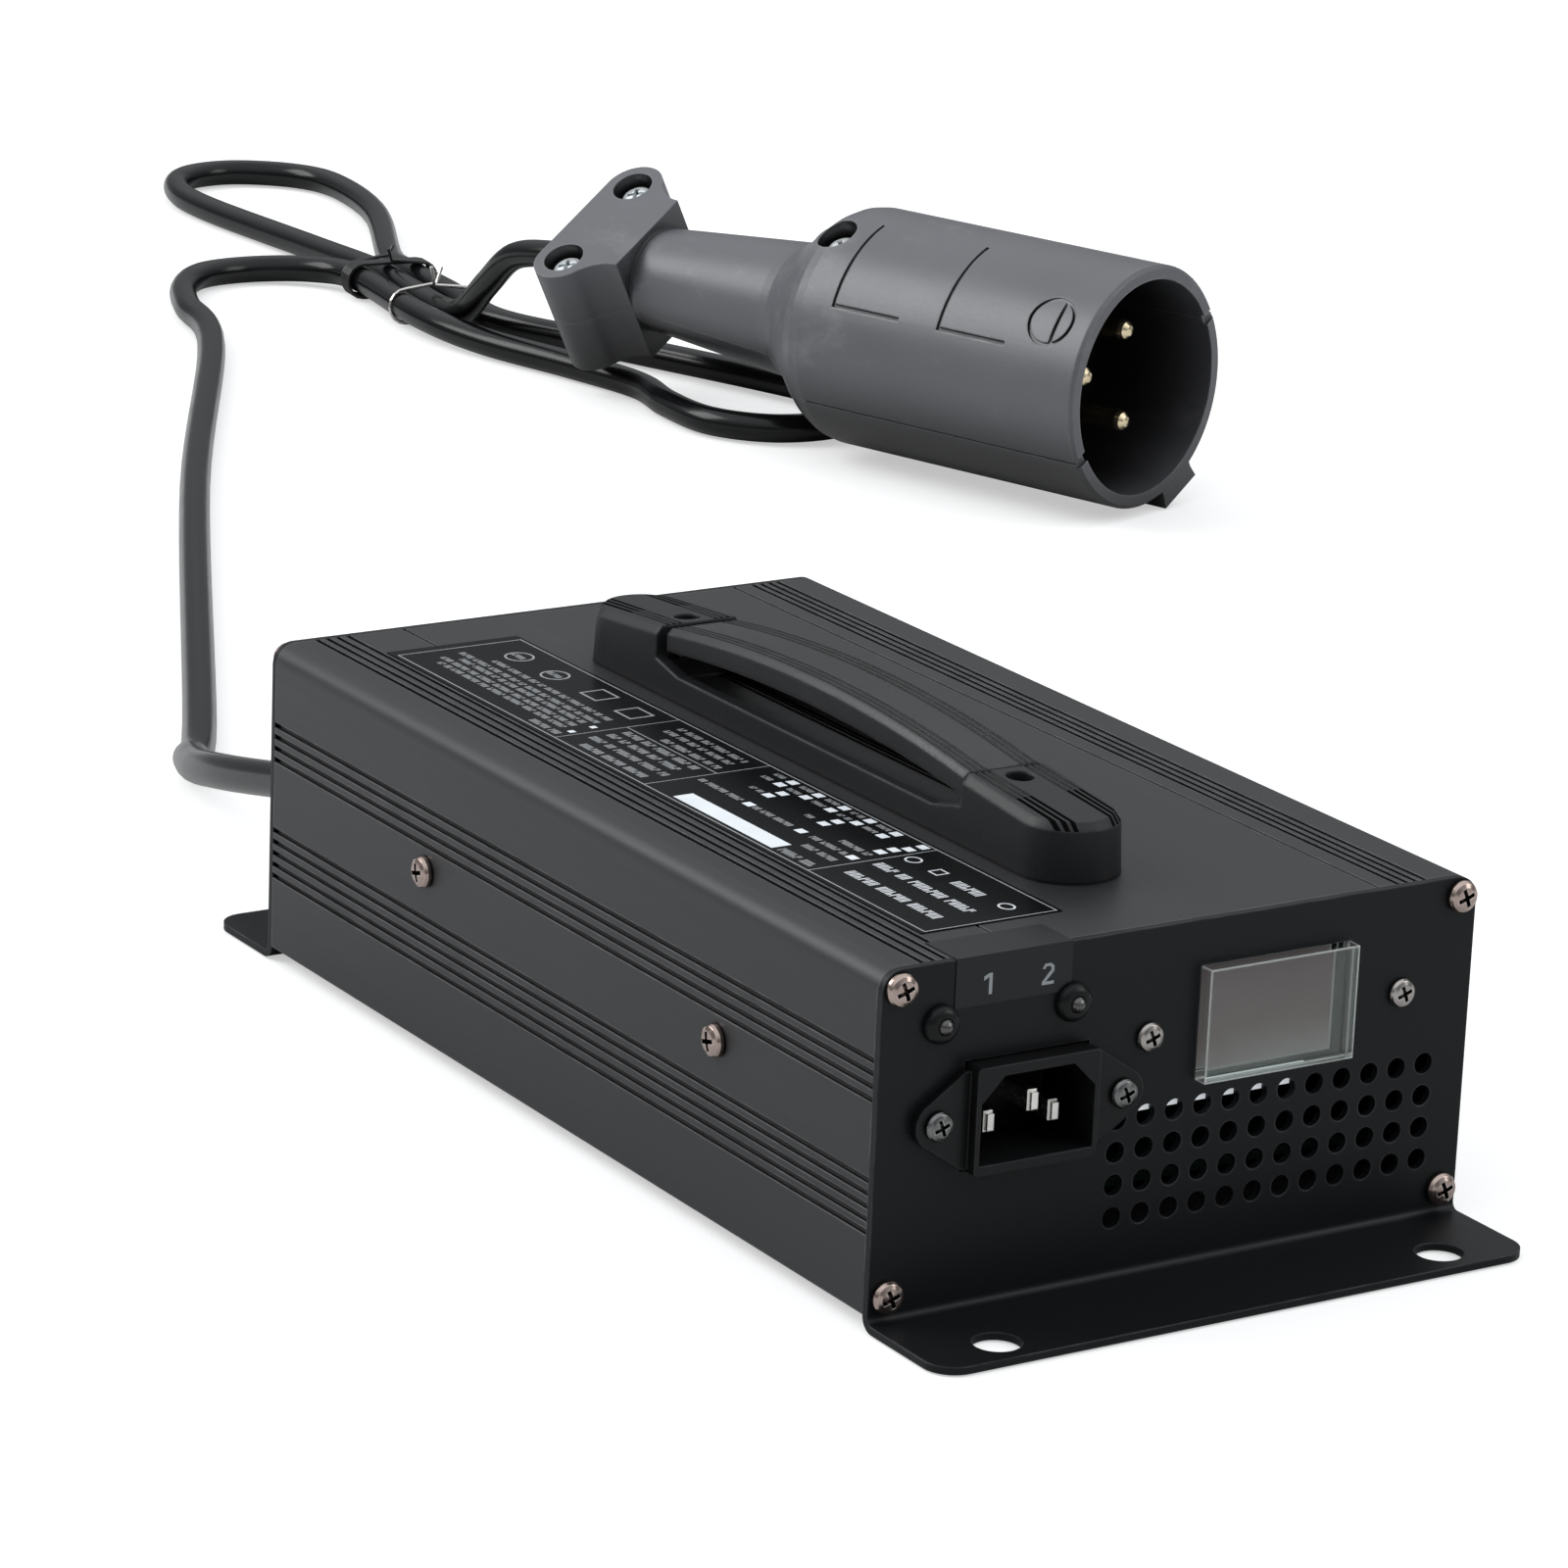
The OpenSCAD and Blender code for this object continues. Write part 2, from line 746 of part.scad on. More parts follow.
module led_lenses() {
  r = led_d / 2;
  color([0.85, 0.86, 0.86])
    for (x = [led_left_x, led_right_x])
      translate([x, -half_l, led_z])
        rotate([90, 0, 0])
          rotate_extrude()
            polygon([[0, -9], [r + 0.5, -9], [r + 0.5, -7.2], [r, -7.2], [r, 1.9],
              [r * 0.92, 2.4], [r * 0.7, 2.9], [r * 0.38, 3.25], [0, 3.4]]);
}

module led_strip() {
  color([0.25, 0.25, 0.26])
    difference() {
      union() {
        along_y(-half_l - film_t, -half_l)
          rect(strip_left, strip_low, strip_left + strip_w, case_top + film_t);
        along_y(-half_l - film_t, -half_l + strip_fold)
          rect(strip_left, case_top, strip_left + strip_w, case_top + film_t);
      }
      for (x = [led_left_x, led_right_x])
        panel_hole(x, led_z, led_ring_d + 2 * fit_gap);
    }
}

module display_glass() {
  front = -half_l - glass_proud;
  color([0.75, 0.85, 0.82, 0.5])
    along_y(front, front + glass_t)
      rect(glass_x, glass_z, glass_x + glass_w, glass_z + glass_h);
}

module display_face() {
  color([0.42, 0.4, 0.4])
    along_y(-half_l - glass_proud + glass_t, -inner_y + board_gap)
      rect(face_left, face_low, face_left + face_w, face_low + face_h);
}

module display_board() {
  color([0.1, 0.25, 0.16])
    along_y(-inner_y + board_gap, -inner_y + board_gap + display_board_t)
      difference() {
        rect(display_board_x, display_board_low, display_board_x + display_board_w,
          display_board_low + display_board_h);
        for (x = [display_screw_left, display_screw_right])
          translate([x, display_screw_z])
            circle(display_screw_d / 2 + screw_gap);
      }
}

module display_spacers() {
  color([0.8, 0.8, 0.8])
    along_y(-inner_y, -inner_y + board_gap)
      for (x = [display_screw_left, display_screw_right])
        translate([x, display_screw_z])
          difference() {
            circle(2.8);
            circle(display_screw_d / 2 + screw_gap);
          }
}

module display_screws() {
  color([0.78, 0.78, 0.77])
    for (x = [display_screw_left, display_screw_right])
      front_screw(x, display_screw_z, -half_l, 5.6, 1.7, display_screw_d, 9.5);
}

module display_nuts() {
  color([0.7, 0.7, 0.7])
    for (x = [display_screw_left, display_screw_right])
      panel_nut(x, display_screw_z, -inner_y + board_gap + display_board_t, display_screw_d);
}

// Flat oval with its long side along Y
module oval(l, r) {
  square([2 * r, l - 2 * r], center = true);
  for (s = [-1, 1])
    translate([0, s * (l / 2 - r)])
      circle(r);
}

module handle_blank() {
  r = handle_w / 2;
  hull() {
    linear_extrude(0.1)
      oval(handle_l, r);
    translate([0, 0, handle_top_end - 1.6])
      linear_extrude(0.1)
        oval(handle_l - 2 * draft, r - draft);
    for (s = [-1, 1])
      translate([0, s * (handle_l / 2 - r), handle_top_end - 0.1])
        cylinder(h = 0.1, r = r - draft - 1.4);
    translate([-(r - draft - 1.4), near_face - handle_y, handle_top_gap - 0.1])
      cube([2 * (r - draft - 1.4), far_face - near_face, 0.1]);
    translate([-(r - draft), near_face - handle_y, handle_top_gap - 1.8])
      cube([2 * (r - draft), far_face - near_face, 0.1]);
  }
}

// Ring cuts that follow the arc of the strap top
module arc_cut(y0, z0, r, x) {
  translate([x - handle_groove_w / 2, y0, z0])
    rotate([0, 90, 0])
      difference() {
        cylinder(h = handle_groove_w, r = r + 3, $fn = 240);
        translate([0, 0, -1])
          cylinder(h = handle_groove_w + 2, r = r - handle_groove_depth, $fn = 240);
      }
}

module handle_base() {
  near = near_face - handle_y;
  far_end = far_face - handle_y;
  color([0.12, 0.12, 0.125])
    translate([handle_x, handle_y, case_top])
      difference() {
        handle_blank();
        translate([-handle_w, 0, 0])
          rotate([90, 0, 90])
            linear_extrude(2 * handle_w)
              polygon([[near, 30], [near, rim_end_z + 0.2], [near + 1.5, rim_end_z],
                [near + 9.6, rim_z], [far_end - 9.6, rim_z], [far_end - 1, rim_end_z], [far_end, 30]]);
        translate([0, (near + far_end) / 2, recess_floor])
          linear_extrude(30)
            square([handle_w - 2 * recess_in, far_end - near - 5], center = true);
        for (s = [-1, 1])
          translate([0, s * handle_screw_span / 2, -1]) {
            cylinder(h = 40, d = handle_screw_d + 2 * screw_gap);
            translate([0, 0, 1 + handle_head_z])
              cylinder(h = 40, d = handle_hole_d);
          }
        for (e = [near, far_end])
          translate([0, e, tongue_low - 0.3])
            linear_extrude(tongue_t + 0.6)
              square([tongue_w + 0.8, 30], center = true);
        for (s = [-1, 1], i = [0 : 2], e = [near - 14, far_end])
          translate([s * (handle_groove_first + i * handle_groove_pitch) - handle_groove_w / 2,
            e, handle_top_gap - handle_groove_depth - 0.9])
            cube([handle_groove_w, 14, 4]);
      }
}

module handle_strap() {
  near = strap_near - handle_y;
  far_end = strap_far - handle_y;
  mid = (near + far_end) / 2;
  half = (far_end - near) / 2;
  top_r = (half * half + strap_rise * strap_rise) / (2 * strap_rise);
  low_rise = strap_rise - 0.6;
  low_r = (half * half + low_rise * low_rise) / (2 * low_rise);
  low_end = handle_top_gap - strap_t;
  color([0.13, 0.13, 0.135])
    translate([handle_x, handle_y, case_top]) {
      difference() {
        translate([-strap_w / 2, 0, 0])
          rotate([90, 0, 90])
            linear_extrude(strap_w)
              difference() {
                intersection() {
                  translate([mid, handle_top_gap + strap_rise - top_r])
                    circle(top_r, $fn = 360);
                  translate([near, low_end])
                    square([far_end - near, 30]);
                }
                translate([mid, low_end + low_rise - low_r])
                  circle(low_r, $fn = 360);
              }
        for (s = [-1, 1], i = [0 : 2])
          arc_cut(mid, handle_top_gap + strap_rise - top_r, top_r,
            s * (handle_groove_first + i * handle_groove_pitch));
        for (s = [-1, 1])
          translate([0, mid, handle_top_gap + strap_rise - top_r])
            rotate([0, 90, 0])
              rotate_extrude($fn = 360)
                polygon([[top_r - 1.2, s * (strap_w / 2 + 0.1)], [top_r + 2, s * (strap_w / 2 + 0.1)],
                  [top_r + 2, s * (strap_w / 2 - 3.2)]]);
      }
      for (s = [-1, 1])
        difference() {
          translate([-tongue_w / 2, s < 0 ? near - tongue_l : far_end - 3, tongue_low])
            cube([tongue_w, tongue_l + 3, tongue_t]);
          translate([0, s * handle_screw_span / 2, 0])
            for (d = [-1.5, 1.5])
              translate([0, d, 0])
                cylinder(h = 30, d = handle_head_d + 0.8);
        }
    }
}

module handle_screws() {
  color([0.1, 0.1, 0.1])
    for (s = [-1, 1])
      translate([handle_x, handle_y + s * handle_screw_span / 2, case_top + handle_head_z])
        difference() {
          union() {
            cylinder(h = handle_head_h, d = handle_head_d);
            translate([0, 0, -handle_head_z - case_wall - 4])
              cylinder(h = handle_head_z + case_wall + 4, d = handle_screw_d);
          }
          translate([0, 0, handle_head_h - 1.8])
            cylinder(h = 3, r = 1.5, $fn = 6);
        }
}

module handle_nuts() {
  color([0.7, 0.7, 0.7])
    for (s = [-1, 1])
      translate([handle_x, handle_y + s * handle_screw_span / 2, case_top - case_wall - 2.8])
        difference() {
          cylinder(h = 2.8, r = 3.9, $fn = 6);
          translate([0, 0, -1])
            cylinder(h = 5, d = handle_screw_d + 2 * screw_gap);
        }
}

module case_label() {
  color([0.14, 0.14, 0.145])
    translate([label_left, label_near, case_top])
      cube([label_w, label_l, film_t]);
}

module at_fan() {
  translate([fan_x, fan_z])
    children();
}

module fan_frame() {
  s = fan_size / 2;
  color([0.06, 0.06, 0.065]) {
    along_y(inner_y - fan_depth, inner_y)
      at_fan()
        difference() {
          round_rect(-s, -s, s, s, 4);
          circle(fan_bore_r);
          for (x = [-1, 1], z = [-1, 1])
            translate([x * fan_hole_span / 2, z * fan_hole_span / 2])
              circle(fan_screw_d / 2 + screw_gap);
        }
    along_y(inner_y - fan_disc_t, inner_y)
      at_fan() {
        circle(fan_disc_r);
        for (a = [20, 110, 200, 290])
          rotate(a)
            translate([0, -fan_strut_w / 2])
              square([fan_bore_r + 0.3, fan_strut_w]);
      }
    along_y(inner_y - fan_disc_t - fan_pin_l, inner_y - fan_disc_t)
      at_fan()
        circle(fan_pin_d / 2);
  }
}

module fan_rotor() {
  back = inner_y - fan_disc_t - fan_hub_gap;
  color([0.08, 0.08, 0.085])
    difference() {
      union() {
        along_y(back - fan_hub_l, back)
          at_fan()
            circle(fan_disc_r);
        for (i = [0 : fan_blade_count - 1])
          translate([fan_x, back - 0.6, fan_z])
            rotate([90, 0, 0])
              rotate([0, 0, i * 360 / fan_blade_count])
                linear_extrude(fan_hub_l - 1.2, twist = fan_blade_twist, slices = 5)
                  translate([fan_disc_r - 0.5, -fan_blade_t / 2])
                    square([fan_bore_r - fan_tip_gap - fan_disc_r + 0.5, fan_blade_t]);
      }
      along_y(back - fan_pin_l + fan_hub_gap - 0.4, back + 1)
        at_fan()
          circle(fan_pin_d / 2 + run_gap);
    }
}

module fan_screws() {
  color([0.3, 0.3, 0.3])
    for (x = [-1, 1], z = [-1, 1])
      rear_screw(fan_x + x * fan_hole_span / 2, fan_z + z * fan_hole_span / 2, half_l,
        fan_head_d, 1.9, fan_screw_d, 14);
}

module cord_guard() {
  root = guard_root_d / 2;
  tip = guard_tip_d / 2;
  ribs = 6;
  step = (guard_l - guard_collar_l - 2) / ribs;
  slope = (root - tip) / ribs;
  color([0.06, 0.06, 0.06])
    translate([cord_x, half_l, cord_z])
      rotate([-90, 0, 0])
        rotate_extrude()
          polygon(concat(
            [[0, -sheet_t - 2], [guard_collar_d / 2, -sheet_t - 2], [guard_collar_d / 2, -sheet_t],
              [guard_hole_d / 2, -sheet_t], [guard_hole_d / 2, 0], [guard_collar_d / 2, 0],
              [guard_collar_d / 2, guard_collar_l - 0.8], [guard_collar_d / 2 - 0.8, guard_collar_l]],
            flat_list([for (i = [0 : ribs - 1]) [
              [root - i * slope, guard_collar_l + i * step],
              [root - i * slope, guard_collar_l + (i + 0.62) * step],
              [root - i * slope - 0.9, guard_collar_l + (i + 0.66) * step],
              [root - i * slope - 0.9, guard_collar_l + (i + 0.96) * step]]]),
            [[tip, guard_l - 2], [tip, guard_l], [0, guard_l]]));
}

module output_cord() {
  color([0.07, 0.07, 0.07])
    tube(smooth(route), cord_d / 2, cord_sides, [0, 1, 0], [plug_sin, -plug_cos, 0]);
}

// Wire wound around the three strands with its two ends standing up, centred on a point
module wire_tie(centre, dir, turns, pitch, stub) {
  across = [dir[1], -dir[0], 0];
  reach = norm([9, 1]);
  r = cord_d / 2 + tie_gap + tie_wire / 2;
  steps = 16;
  start = centre - dir * turns * pitch / 2;
  angles = [for (k = [0 : turns - 1], i = [0 : steps + 1]) [k, i]];
  path = concat(
    [start + [0, 0, r + stub] - 2 * across - 0.8 * dir],
    [start + [0, 0, r + 1.2] - 0.7 * across - 0.3 * dir],
    [for (v = angles) let (i = v[1], right = i <= steps / 2, a = 90 - (right ? i : i - 1) * 360 / steps)
      start + across * ((right ? reach : -reach) + r * cos(a)) + [0, 0, r * sin(a)]
        + dir * pitch * (v[0] + i / (steps + 2))],
    [start + [0, 0, r + 1.2] + 0.7 * across + dir * (turns * pitch + 0.3)],
    [start + [0, 0, r + stub - 1] + 2.6 * across + dir * (turns * pitch + 0.8)]);
  tube(path, tie_wire / 2, 6, unit(path[1] - path[0]),
    unit(path[len(path) - 1] - path[len(path) - 2]), dir);
}

module cord_tie_black() {
  color([0.05, 0.05, 0.05])
    wire_tie(black_tie_at, unit(tie_dir), 4, 1.6, 5);
}

module cord_tie_zinc() {
  color([0.75, 0.75, 0.76])
    wire_tie(zinc_tie_at, unit(tie_dir), 1, 1.6, 7);
}

module at_plug() {
  translate([plug_x, plug_y, plug_z])
    rotate([90, 0, plug_turn])
      rotate([0, 0, plug_roll])
        children();
}

function shoulder_r(t) = neck_r + (barrel_r - neck_r) * (1 + cos(180 * t)) / 2;

module shell_outer() {
  rotate_extrude(angle = 180)
    polygon(concat(
      [[0, 0], [barrel_r - 1, 0], [barrel_r, -1]],
      [for (i = [0 : 8]) [shoulder_r(i / 8), -barrel_l - shoulder_l * i / 8]],
      [[neck_end_r, -neck_end], [neck_end_r, 1.5 - plug_l], [neck_end_r - 1.5, -plug_l], [0, -plug_l]]));
}

module shell_inner() {
  bore = barrel_r - plug_wall;
  rotate_extrude()
    polygon(concat(
      [[0, 1], [bore, 1], [bore, -plug_mouth_depth - carrier_l - 0.2],
        [bore - 2, -plug_mouth_depth - carrier_l - 0.2]],
      [for (i = [1 : 8]) [min(bore - 2, shoulder_r(i / 8) - plug_wall), -barrel_l - shoulder_l * i / 8]],
      [[neck_end_r - plug_wall, -neck_end], [cord_d / 2, -neck_end - 4], [cord_d / 2, 10 - plug_l],
        [0, 10 - plug_l]]));
}

// Plan of the cord clamp with its two screw ears and fillets to the neck, in E and along the plug
module clamp_plan() {
  side = neck_end_r + ear_fillet;
  ahead = sqrt(pow(ear_r + ear_fillet, 2) - pow(side - ear_span / 2, 2));
  share = ear_r / (ear_r + ear_fillet);
  touch_x = ear_span / 2 + share * (side - ear_span / 2);
  touch_y = share * ahead - ear_u;
  for (s = [-1, 1])
    translate([s * ear_span / 2, -ear_u])
      circle(ear_r);
  translate([-ear_span / 2, -ear_u - ear_r])
    square([ear_span, 2 * ear_r]);
  difference() {
    polygon([[-side, ahead - ear_u], [-touch_x, touch_y], [-ear_span / 2, -ear_u],
      [ear_span / 2, -ear_u], [touch_x, touch_y], [side, ahead - ear_u]]);
    for (s = [-1, 1])
      translate([s * side, ahead - ear_u])
        circle(ear_fillet);
  }
}

module half_shell() {
  difference() {
    union() {
      shell_outer();
      translate([0, ear_top, 0])
        rotate([90, 0, 0])
          linear_extrude(ear_top)
            clamp_plan();
    }
    shell_inner();
    for (s = [-1, 1])
      translate([s * ear_span / 2, -1, -ear_u])
        rotate([-90, 0, 0])
          cylinder(h = 40, d = plug_screw_d + 2 * screw_gap);
    for (s = [-1, 1])
      translate([s * (barrel_r + 0.5), 0, -barrel_l / 2])
        cube([2, 0.6, barrel_l - 2], center = true);
    for (s = [-1, 1])
      translate([s * (barrel_r - plug_wall / 2), 0, 0])
        cube([2 * plug_wall, 3, 2.4], center = true);
  }
}

// Engraved outline, a line around the barrel at a distance from the rim and a line along it
module shell_mark(u) {
  reach = barrel_r * sin((mark_low - mark_high) / 2);
  intersection() {
    translate([0, 0, -u])
      rotate([90, 0, 90 + (mark_low + mark_high) / 2])
        linear_extrude(barrel_r + 2)
          polygon([[-reach, 0], [reach, 0], [reach, mark_l], [reach - mark_w, mark_l],
            [reach - mark_w, mark_w], [-reach, mark_w]]);
    translate([0, 0, -barrel_l])
      difference() {
        cylinder(h = barrel_l, r = barrel_r + 1);
        translate([0, 0, -1])
          cylinder(h = barrel_l + 2, r = barrel_r - mark_depth);
      }
  }
}

// Engraved ring with a bar across it
module ring_mark() {
  rotate([0, 0, 113])
    translate([barrel_r - mark_depth - 0.3, 0, -13])
      rotate([0, 90, 0]) {
        difference() {
          cylinder(h = 3, r = mark_ring_r);
          translate([0, 0, -1])
            cylinder(h = 5, r = mark_ring_r - mark_w);
        }
        translate([-2.6, -mark_ring_r + 1, 0])
          cube([mark_w, 2 * mark_ring_r - 2, 3]);
      }
}

module plug_upper_shell() {
  color([0.28, 0.285, 0.3])
    at_plug()
      difference() {
        union() {
          half_shell();
          translate([0, 0, -shoulder_screw_u])
            rotate([-90, 0, 0])
              cylinder(h = shoulder_pocket_n + 4.4, r = post_r + 1.6);
        }
        translate([0, -1, -shoulder_screw_u])
          rotate([-90, 0, 0])
            cylinder(h = 60, d = plug_screw_d + 2 * screw_gap);
        translate([0, shoulder_pocket_n, -shoulder_screw_u])
          rotate([-90, 0, 0])
            cylinder(h = 30, d = shoulder_pocket_d);
        for (s = [-1, 1])
          translate([s * ear_span / 2, ear_top - ear_pocket, -ear_u])
            rotate([-90, 0, 0])
              cylinder(h = 20, d = ear_pocket_d);
        for (u = mark_places)
          shell_mark(u);
        ring_mark();
      }
}

module plug_lower_shell() {
  color([0.28, 0.285, 0.3])
    at_plug()
      difference() {
        union() {
          mirror([0, 1, 0])
            half_shell();
          translate([0, 0, -key_l])
            linear_extrude(key_l)
              polygon([[-key_half, 1.6 - barrel_r], [-key_half, -barrel_r], [-key_half - key_flare, -key_top],
                [key_half + key_flare, -key_top], [key_half, -barrel_r], [key_half, 1.6 - barrel_r]]);
          translate([0, 0, -shoulder_screw_u])
            rotate([90, 0, 0])
              cylinder(h = barrel_r - 4, r = post_r);
        }
        translate([0, 1, -shoulder_screw_u])
          rotate([90, 0, 0])
            cylinder(h = 18, d = plug_screw_d + 2 * screw_gap);
      }
}

module plug_pin_carrier() {
  color([0.05, 0.05, 0.055])
    at_plug()
      difference() {
        translate([0, 0, -plug_mouth_depth - carrier_l])
          cylinder(h = carrier_l, r = barrel_r - plug_wall - fit_gap);
        for (p = pin_places)
          translate([p[0], p[1], -plug_mouth_depth - carrier_l - 1])
            cylinder(h = carrier_l + 2, d = plug_pin_d + 2 * screw_gap);
        translate([0, 0, -plug_mouth_depth - carrier_l - 1])
          cylinder(h = carrier_l - 7, r = barrel_r - plug_wall - 4);
      }
}

module plug_pins() {
  r = plug_pin_d / 2;
  color([0.83, 0.68, 0.38])
    at_plug()
      for (p = pin_places)
        translate([p[0], p[1], -pin_tip])
          rotate_extrude()
            polygon([[0, 0], [r * 0.5, -0.35], [r * 0.87, -1.3], [r, -2.6],
              [r, -plug_mouth_depth - carrier_l + pin_tip - 2],
              [r * 0.6, -plug_mouth_depth - carrier_l + pin_tip - 2],
              [r * 0.6, -plug_mouth_depth - carrier_l + pin_tip - 9],
              [0, -plug_mouth_depth - carrier_l + pin_tip - 9]]);
}

module plug_screws() {
  color([0.8, 0.8, 0.8])
    at_plug() {
      for (s = [-1, 1])
        translate([s * ear_span / 2, ear_top - ear_pocket, -ear_u])
          rotate([-90, 0, 0])
            rotate([0, 0, 25])
              cross_screw(plug_head_d, plug_head_h, plug_screw_d, 22);
      translate([0, shoulder_pocket_n, -shoulder_screw_u])
        rotate([-90, 0, 0])
          rotate([0, 0, 50])
            cross_screw(plug_head_d, plug_head_h, plug_screw_d, 34);
    }
}

module circuit_board() {
  color([0.12, 0.3, 0.18])
    translate([-half_w + case_wall + fit_gap, -inner_y + board_near, board_z])
      cube([case_w - 2 * case_wall - 2 * fit_gap, 2 * inner_y - board_near - board_far, board_t]);
}

module insulating_sheet() {
  color([0.85, 0.83, 0.75])
    translate([-half_w + case_wall + sheet_margin, -inner_y + sheet_margin, case_lift + bottom_wall])
      cube([case_w - 2 * case_wall - 2 * sheet_margin, 2 * inner_y - 2 * sheet_margin, 0.4]);
}

// Aluminium bar along one side wall, side -1 is left
module heat_bar(side) {
  difference() {
    translate([side * (half_w - case_wall) - (side > 0 ? bar_t : 0), bar_near, bar_low])
      cube([bar_t, bar_l, bar_h]);
    for (y = [side_screw_front, side_screw_rear])
      translate([side * half_w, y, side_screw_z])
        rotate([0, 90, 0])
          cylinder(h = 40, d = side_screw_d + 2 * screw_gap, center = true);
    for (y = device_y)
      translate([side * (half_w - case_wall), y, device_low + device_h - 4])
        rotate([0, 90, 0])
          cylinder(h = 3 * bar_t, d = side_screw_d + 2 * screw_gap, center = true);
  }
}

module heat_bar_left() {
  color([0.7, 0.71, 0.72])
    heat_bar(-1);
}

module heat_bar_right() {
  color([0.7, 0.71, 0.72])
    heat_bar(1);
}

module power_transistors() {
  color([0.1, 0.1, 0.1])
    for (side = [-1, 1], y = device_y)
      translate([side * (half_w - case_wall - bar_t - device_t / 2), y, 0])
        difference() {
          union() {
            translate([0, 0, device_low + device_h / 2])
              cube([device_t, device_w, device_h], center = true);
            for (k = [-1, 0, 1])
              translate([0, k * 5, board_top + (device_low - board_top) / 2])
                cube([0.7, 1.2, device_low - board_top], center = true);
          }
          translate([0, 0, device_low + device_h - 4])
            rotate([0, 90, 0])
              cylinder(h = 20, d = side_screw_d + 2 * screw_gap, center = true);
        }
}

module transistor_screws() {
  color([0.75, 0.75, 0.75])
    for (side = [-1, 1], y = device_y)
      translate([side * (half_w - case_wall - bar_t - device_t), y, device_low + device_h - 4])
        rotate([0, -side * 90, 0])
          cross_screw(5.8, 2.2, side_screw_d, device_t + bar_t - 0.6);
}

module transformer_core() {
  color([0.22, 0.22, 0.23])
    translate([core_x, core_y, core_low + core_h / 2])
      rotate([90, 0, 0])
        linear_extrude(core_t, center = true)
          difference() {
            square([core_w, core_h], center = true);
            for (s = [-1, 1])
              translate([s * (leg_w + window_w) / 2, 0])
                square([window_w, window_h], center = true);
          }
}

module transformer_coil() {
  low = core_low + (core_h - window_h) / 2 + fit_gap;
  w = leg_w / 2 + window_w - 0.4;
  d = core_t / 2 + window_w - 0.4;
  color([0.82, 0.66, 0.2]) {
    translate([core_x, core_y, low])
      linear_extrude(window_h - 2 * fit_gap)
        difference() {
          square([2 * w, 2 * d], center = true);
          square([leg_w + 2 * fit_gap, core_t + 2 * fit_gap], center = true);
        }
    for (s = [-1, 1])
      translate([core_x, core_y + s * (core_t / 2 + fit_gap + 2.5), (board_top + low) / 2 + 0.5])
        cube([2 * w, 5, low - board_top + 1], center = true);
  }
}

module filter_choke() {
  color([0.75, 0.42, 0.2])
    translate([-26, 58, board_top + 5])
      rotate_extrude()
        translate([12, 0])
          circle(5, $fn = 24);
}

// Upright can with a rolled rim
module can(x, y, r, h) {
  translate([x, y, board_top])
    rotate_extrude()
      polygon([[0, 0], [r - 0.4, 0], [r, 0.6], [r, 2.2], [r - 0.6, 3], [r, 3.8], [r, h - 0.8],
        [r - 0.8, h], [r - 1.6, h - 0.4], [0, h - 0.4]]);
}

module main_capacitors() {
  color([0.12, 0.14, 0.24])
    for (p = main_can_places)
      can(p[0], p[1], main_can_r, main_can_h);
}

module small_capacitors() {
  color([0.12, 0.14, 0.24]) {
    for (c = small_cans)
      can(c[0], c[1], c[2], c[3]);
  }
}

module fuse_tube() {
  color([0.85, 0.88, 0.88])
    translate([-38, -62, board_top + 5.4])
      rotate([-90, 0, 0])
        rotate_extrude()
          polygon([[0, 0], [2.6, 0], [2.6, 5], [2.3, 5], [2.3, 15], [2.6, 15], [2.6, 20], [0, 20]]);
}

module fuse_clips() {
  color([0.75, 0.75, 0.76])
    for (y = [-62, -47])
      translate([-38, y + 5, board_top])
        rotate([90, 0, 0])
          linear_extrude(5)
            difference() {
              translate([-3.4, 0])
                square([6.8, 6.6]);
              translate([0, 5.4])
                circle(2.6 + screw_gap);
              translate([-2.2, 5.4])
                square([4.4, 3]);
            }
}

module relay() {
  color([0.12, 0.25, 0.55])
    translate([-10, -62, board_top])
      difference() {
        translate([-9.5, -7.8, 0])
          cube([19, 15.6, 15.4]);
        translate([-8.5, -6.8, 14.9])
          cube([17, 13.6, 1]);
      }
}

case_extrusion();
front_panel();
rear_panel();
front_panel_screws();
rear_panel_screws();
side_screws();
inlet_body();
inlet_blades();
inlet_screws();
inlet_nuts();
led_holders();
led_lenses();
led_strip();
display_glass();
display_face();
display_board();
display_spacers();
display_screws();
display_nuts();
handle_base();
handle_strap();
handle_screws();
handle_nuts();
case_label();
fan_frame();
fan_rotor();
fan_screws();
cord_guard();
output_cord();
plug_upper_shell();
plug_lower_shell();
plug_pin_carrier();
plug_pins();
plug_screws();
cord_tie_black();
cord_tie_zinc();
circuit_board();
insulating_sheet();
heat_bar_left();
heat_bar_right();
power_transistors();
transistor_screws();
transformer_core();
transformer_coil();
filter_choke();
main_capacitors();
small_capacitors();
fuse_tube();
fuse_clips();
relay();
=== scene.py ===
"""Looks of the lead-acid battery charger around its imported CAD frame."""
import json
import math

import bmesh
import bpy
from mathutils import Matrix, Vector


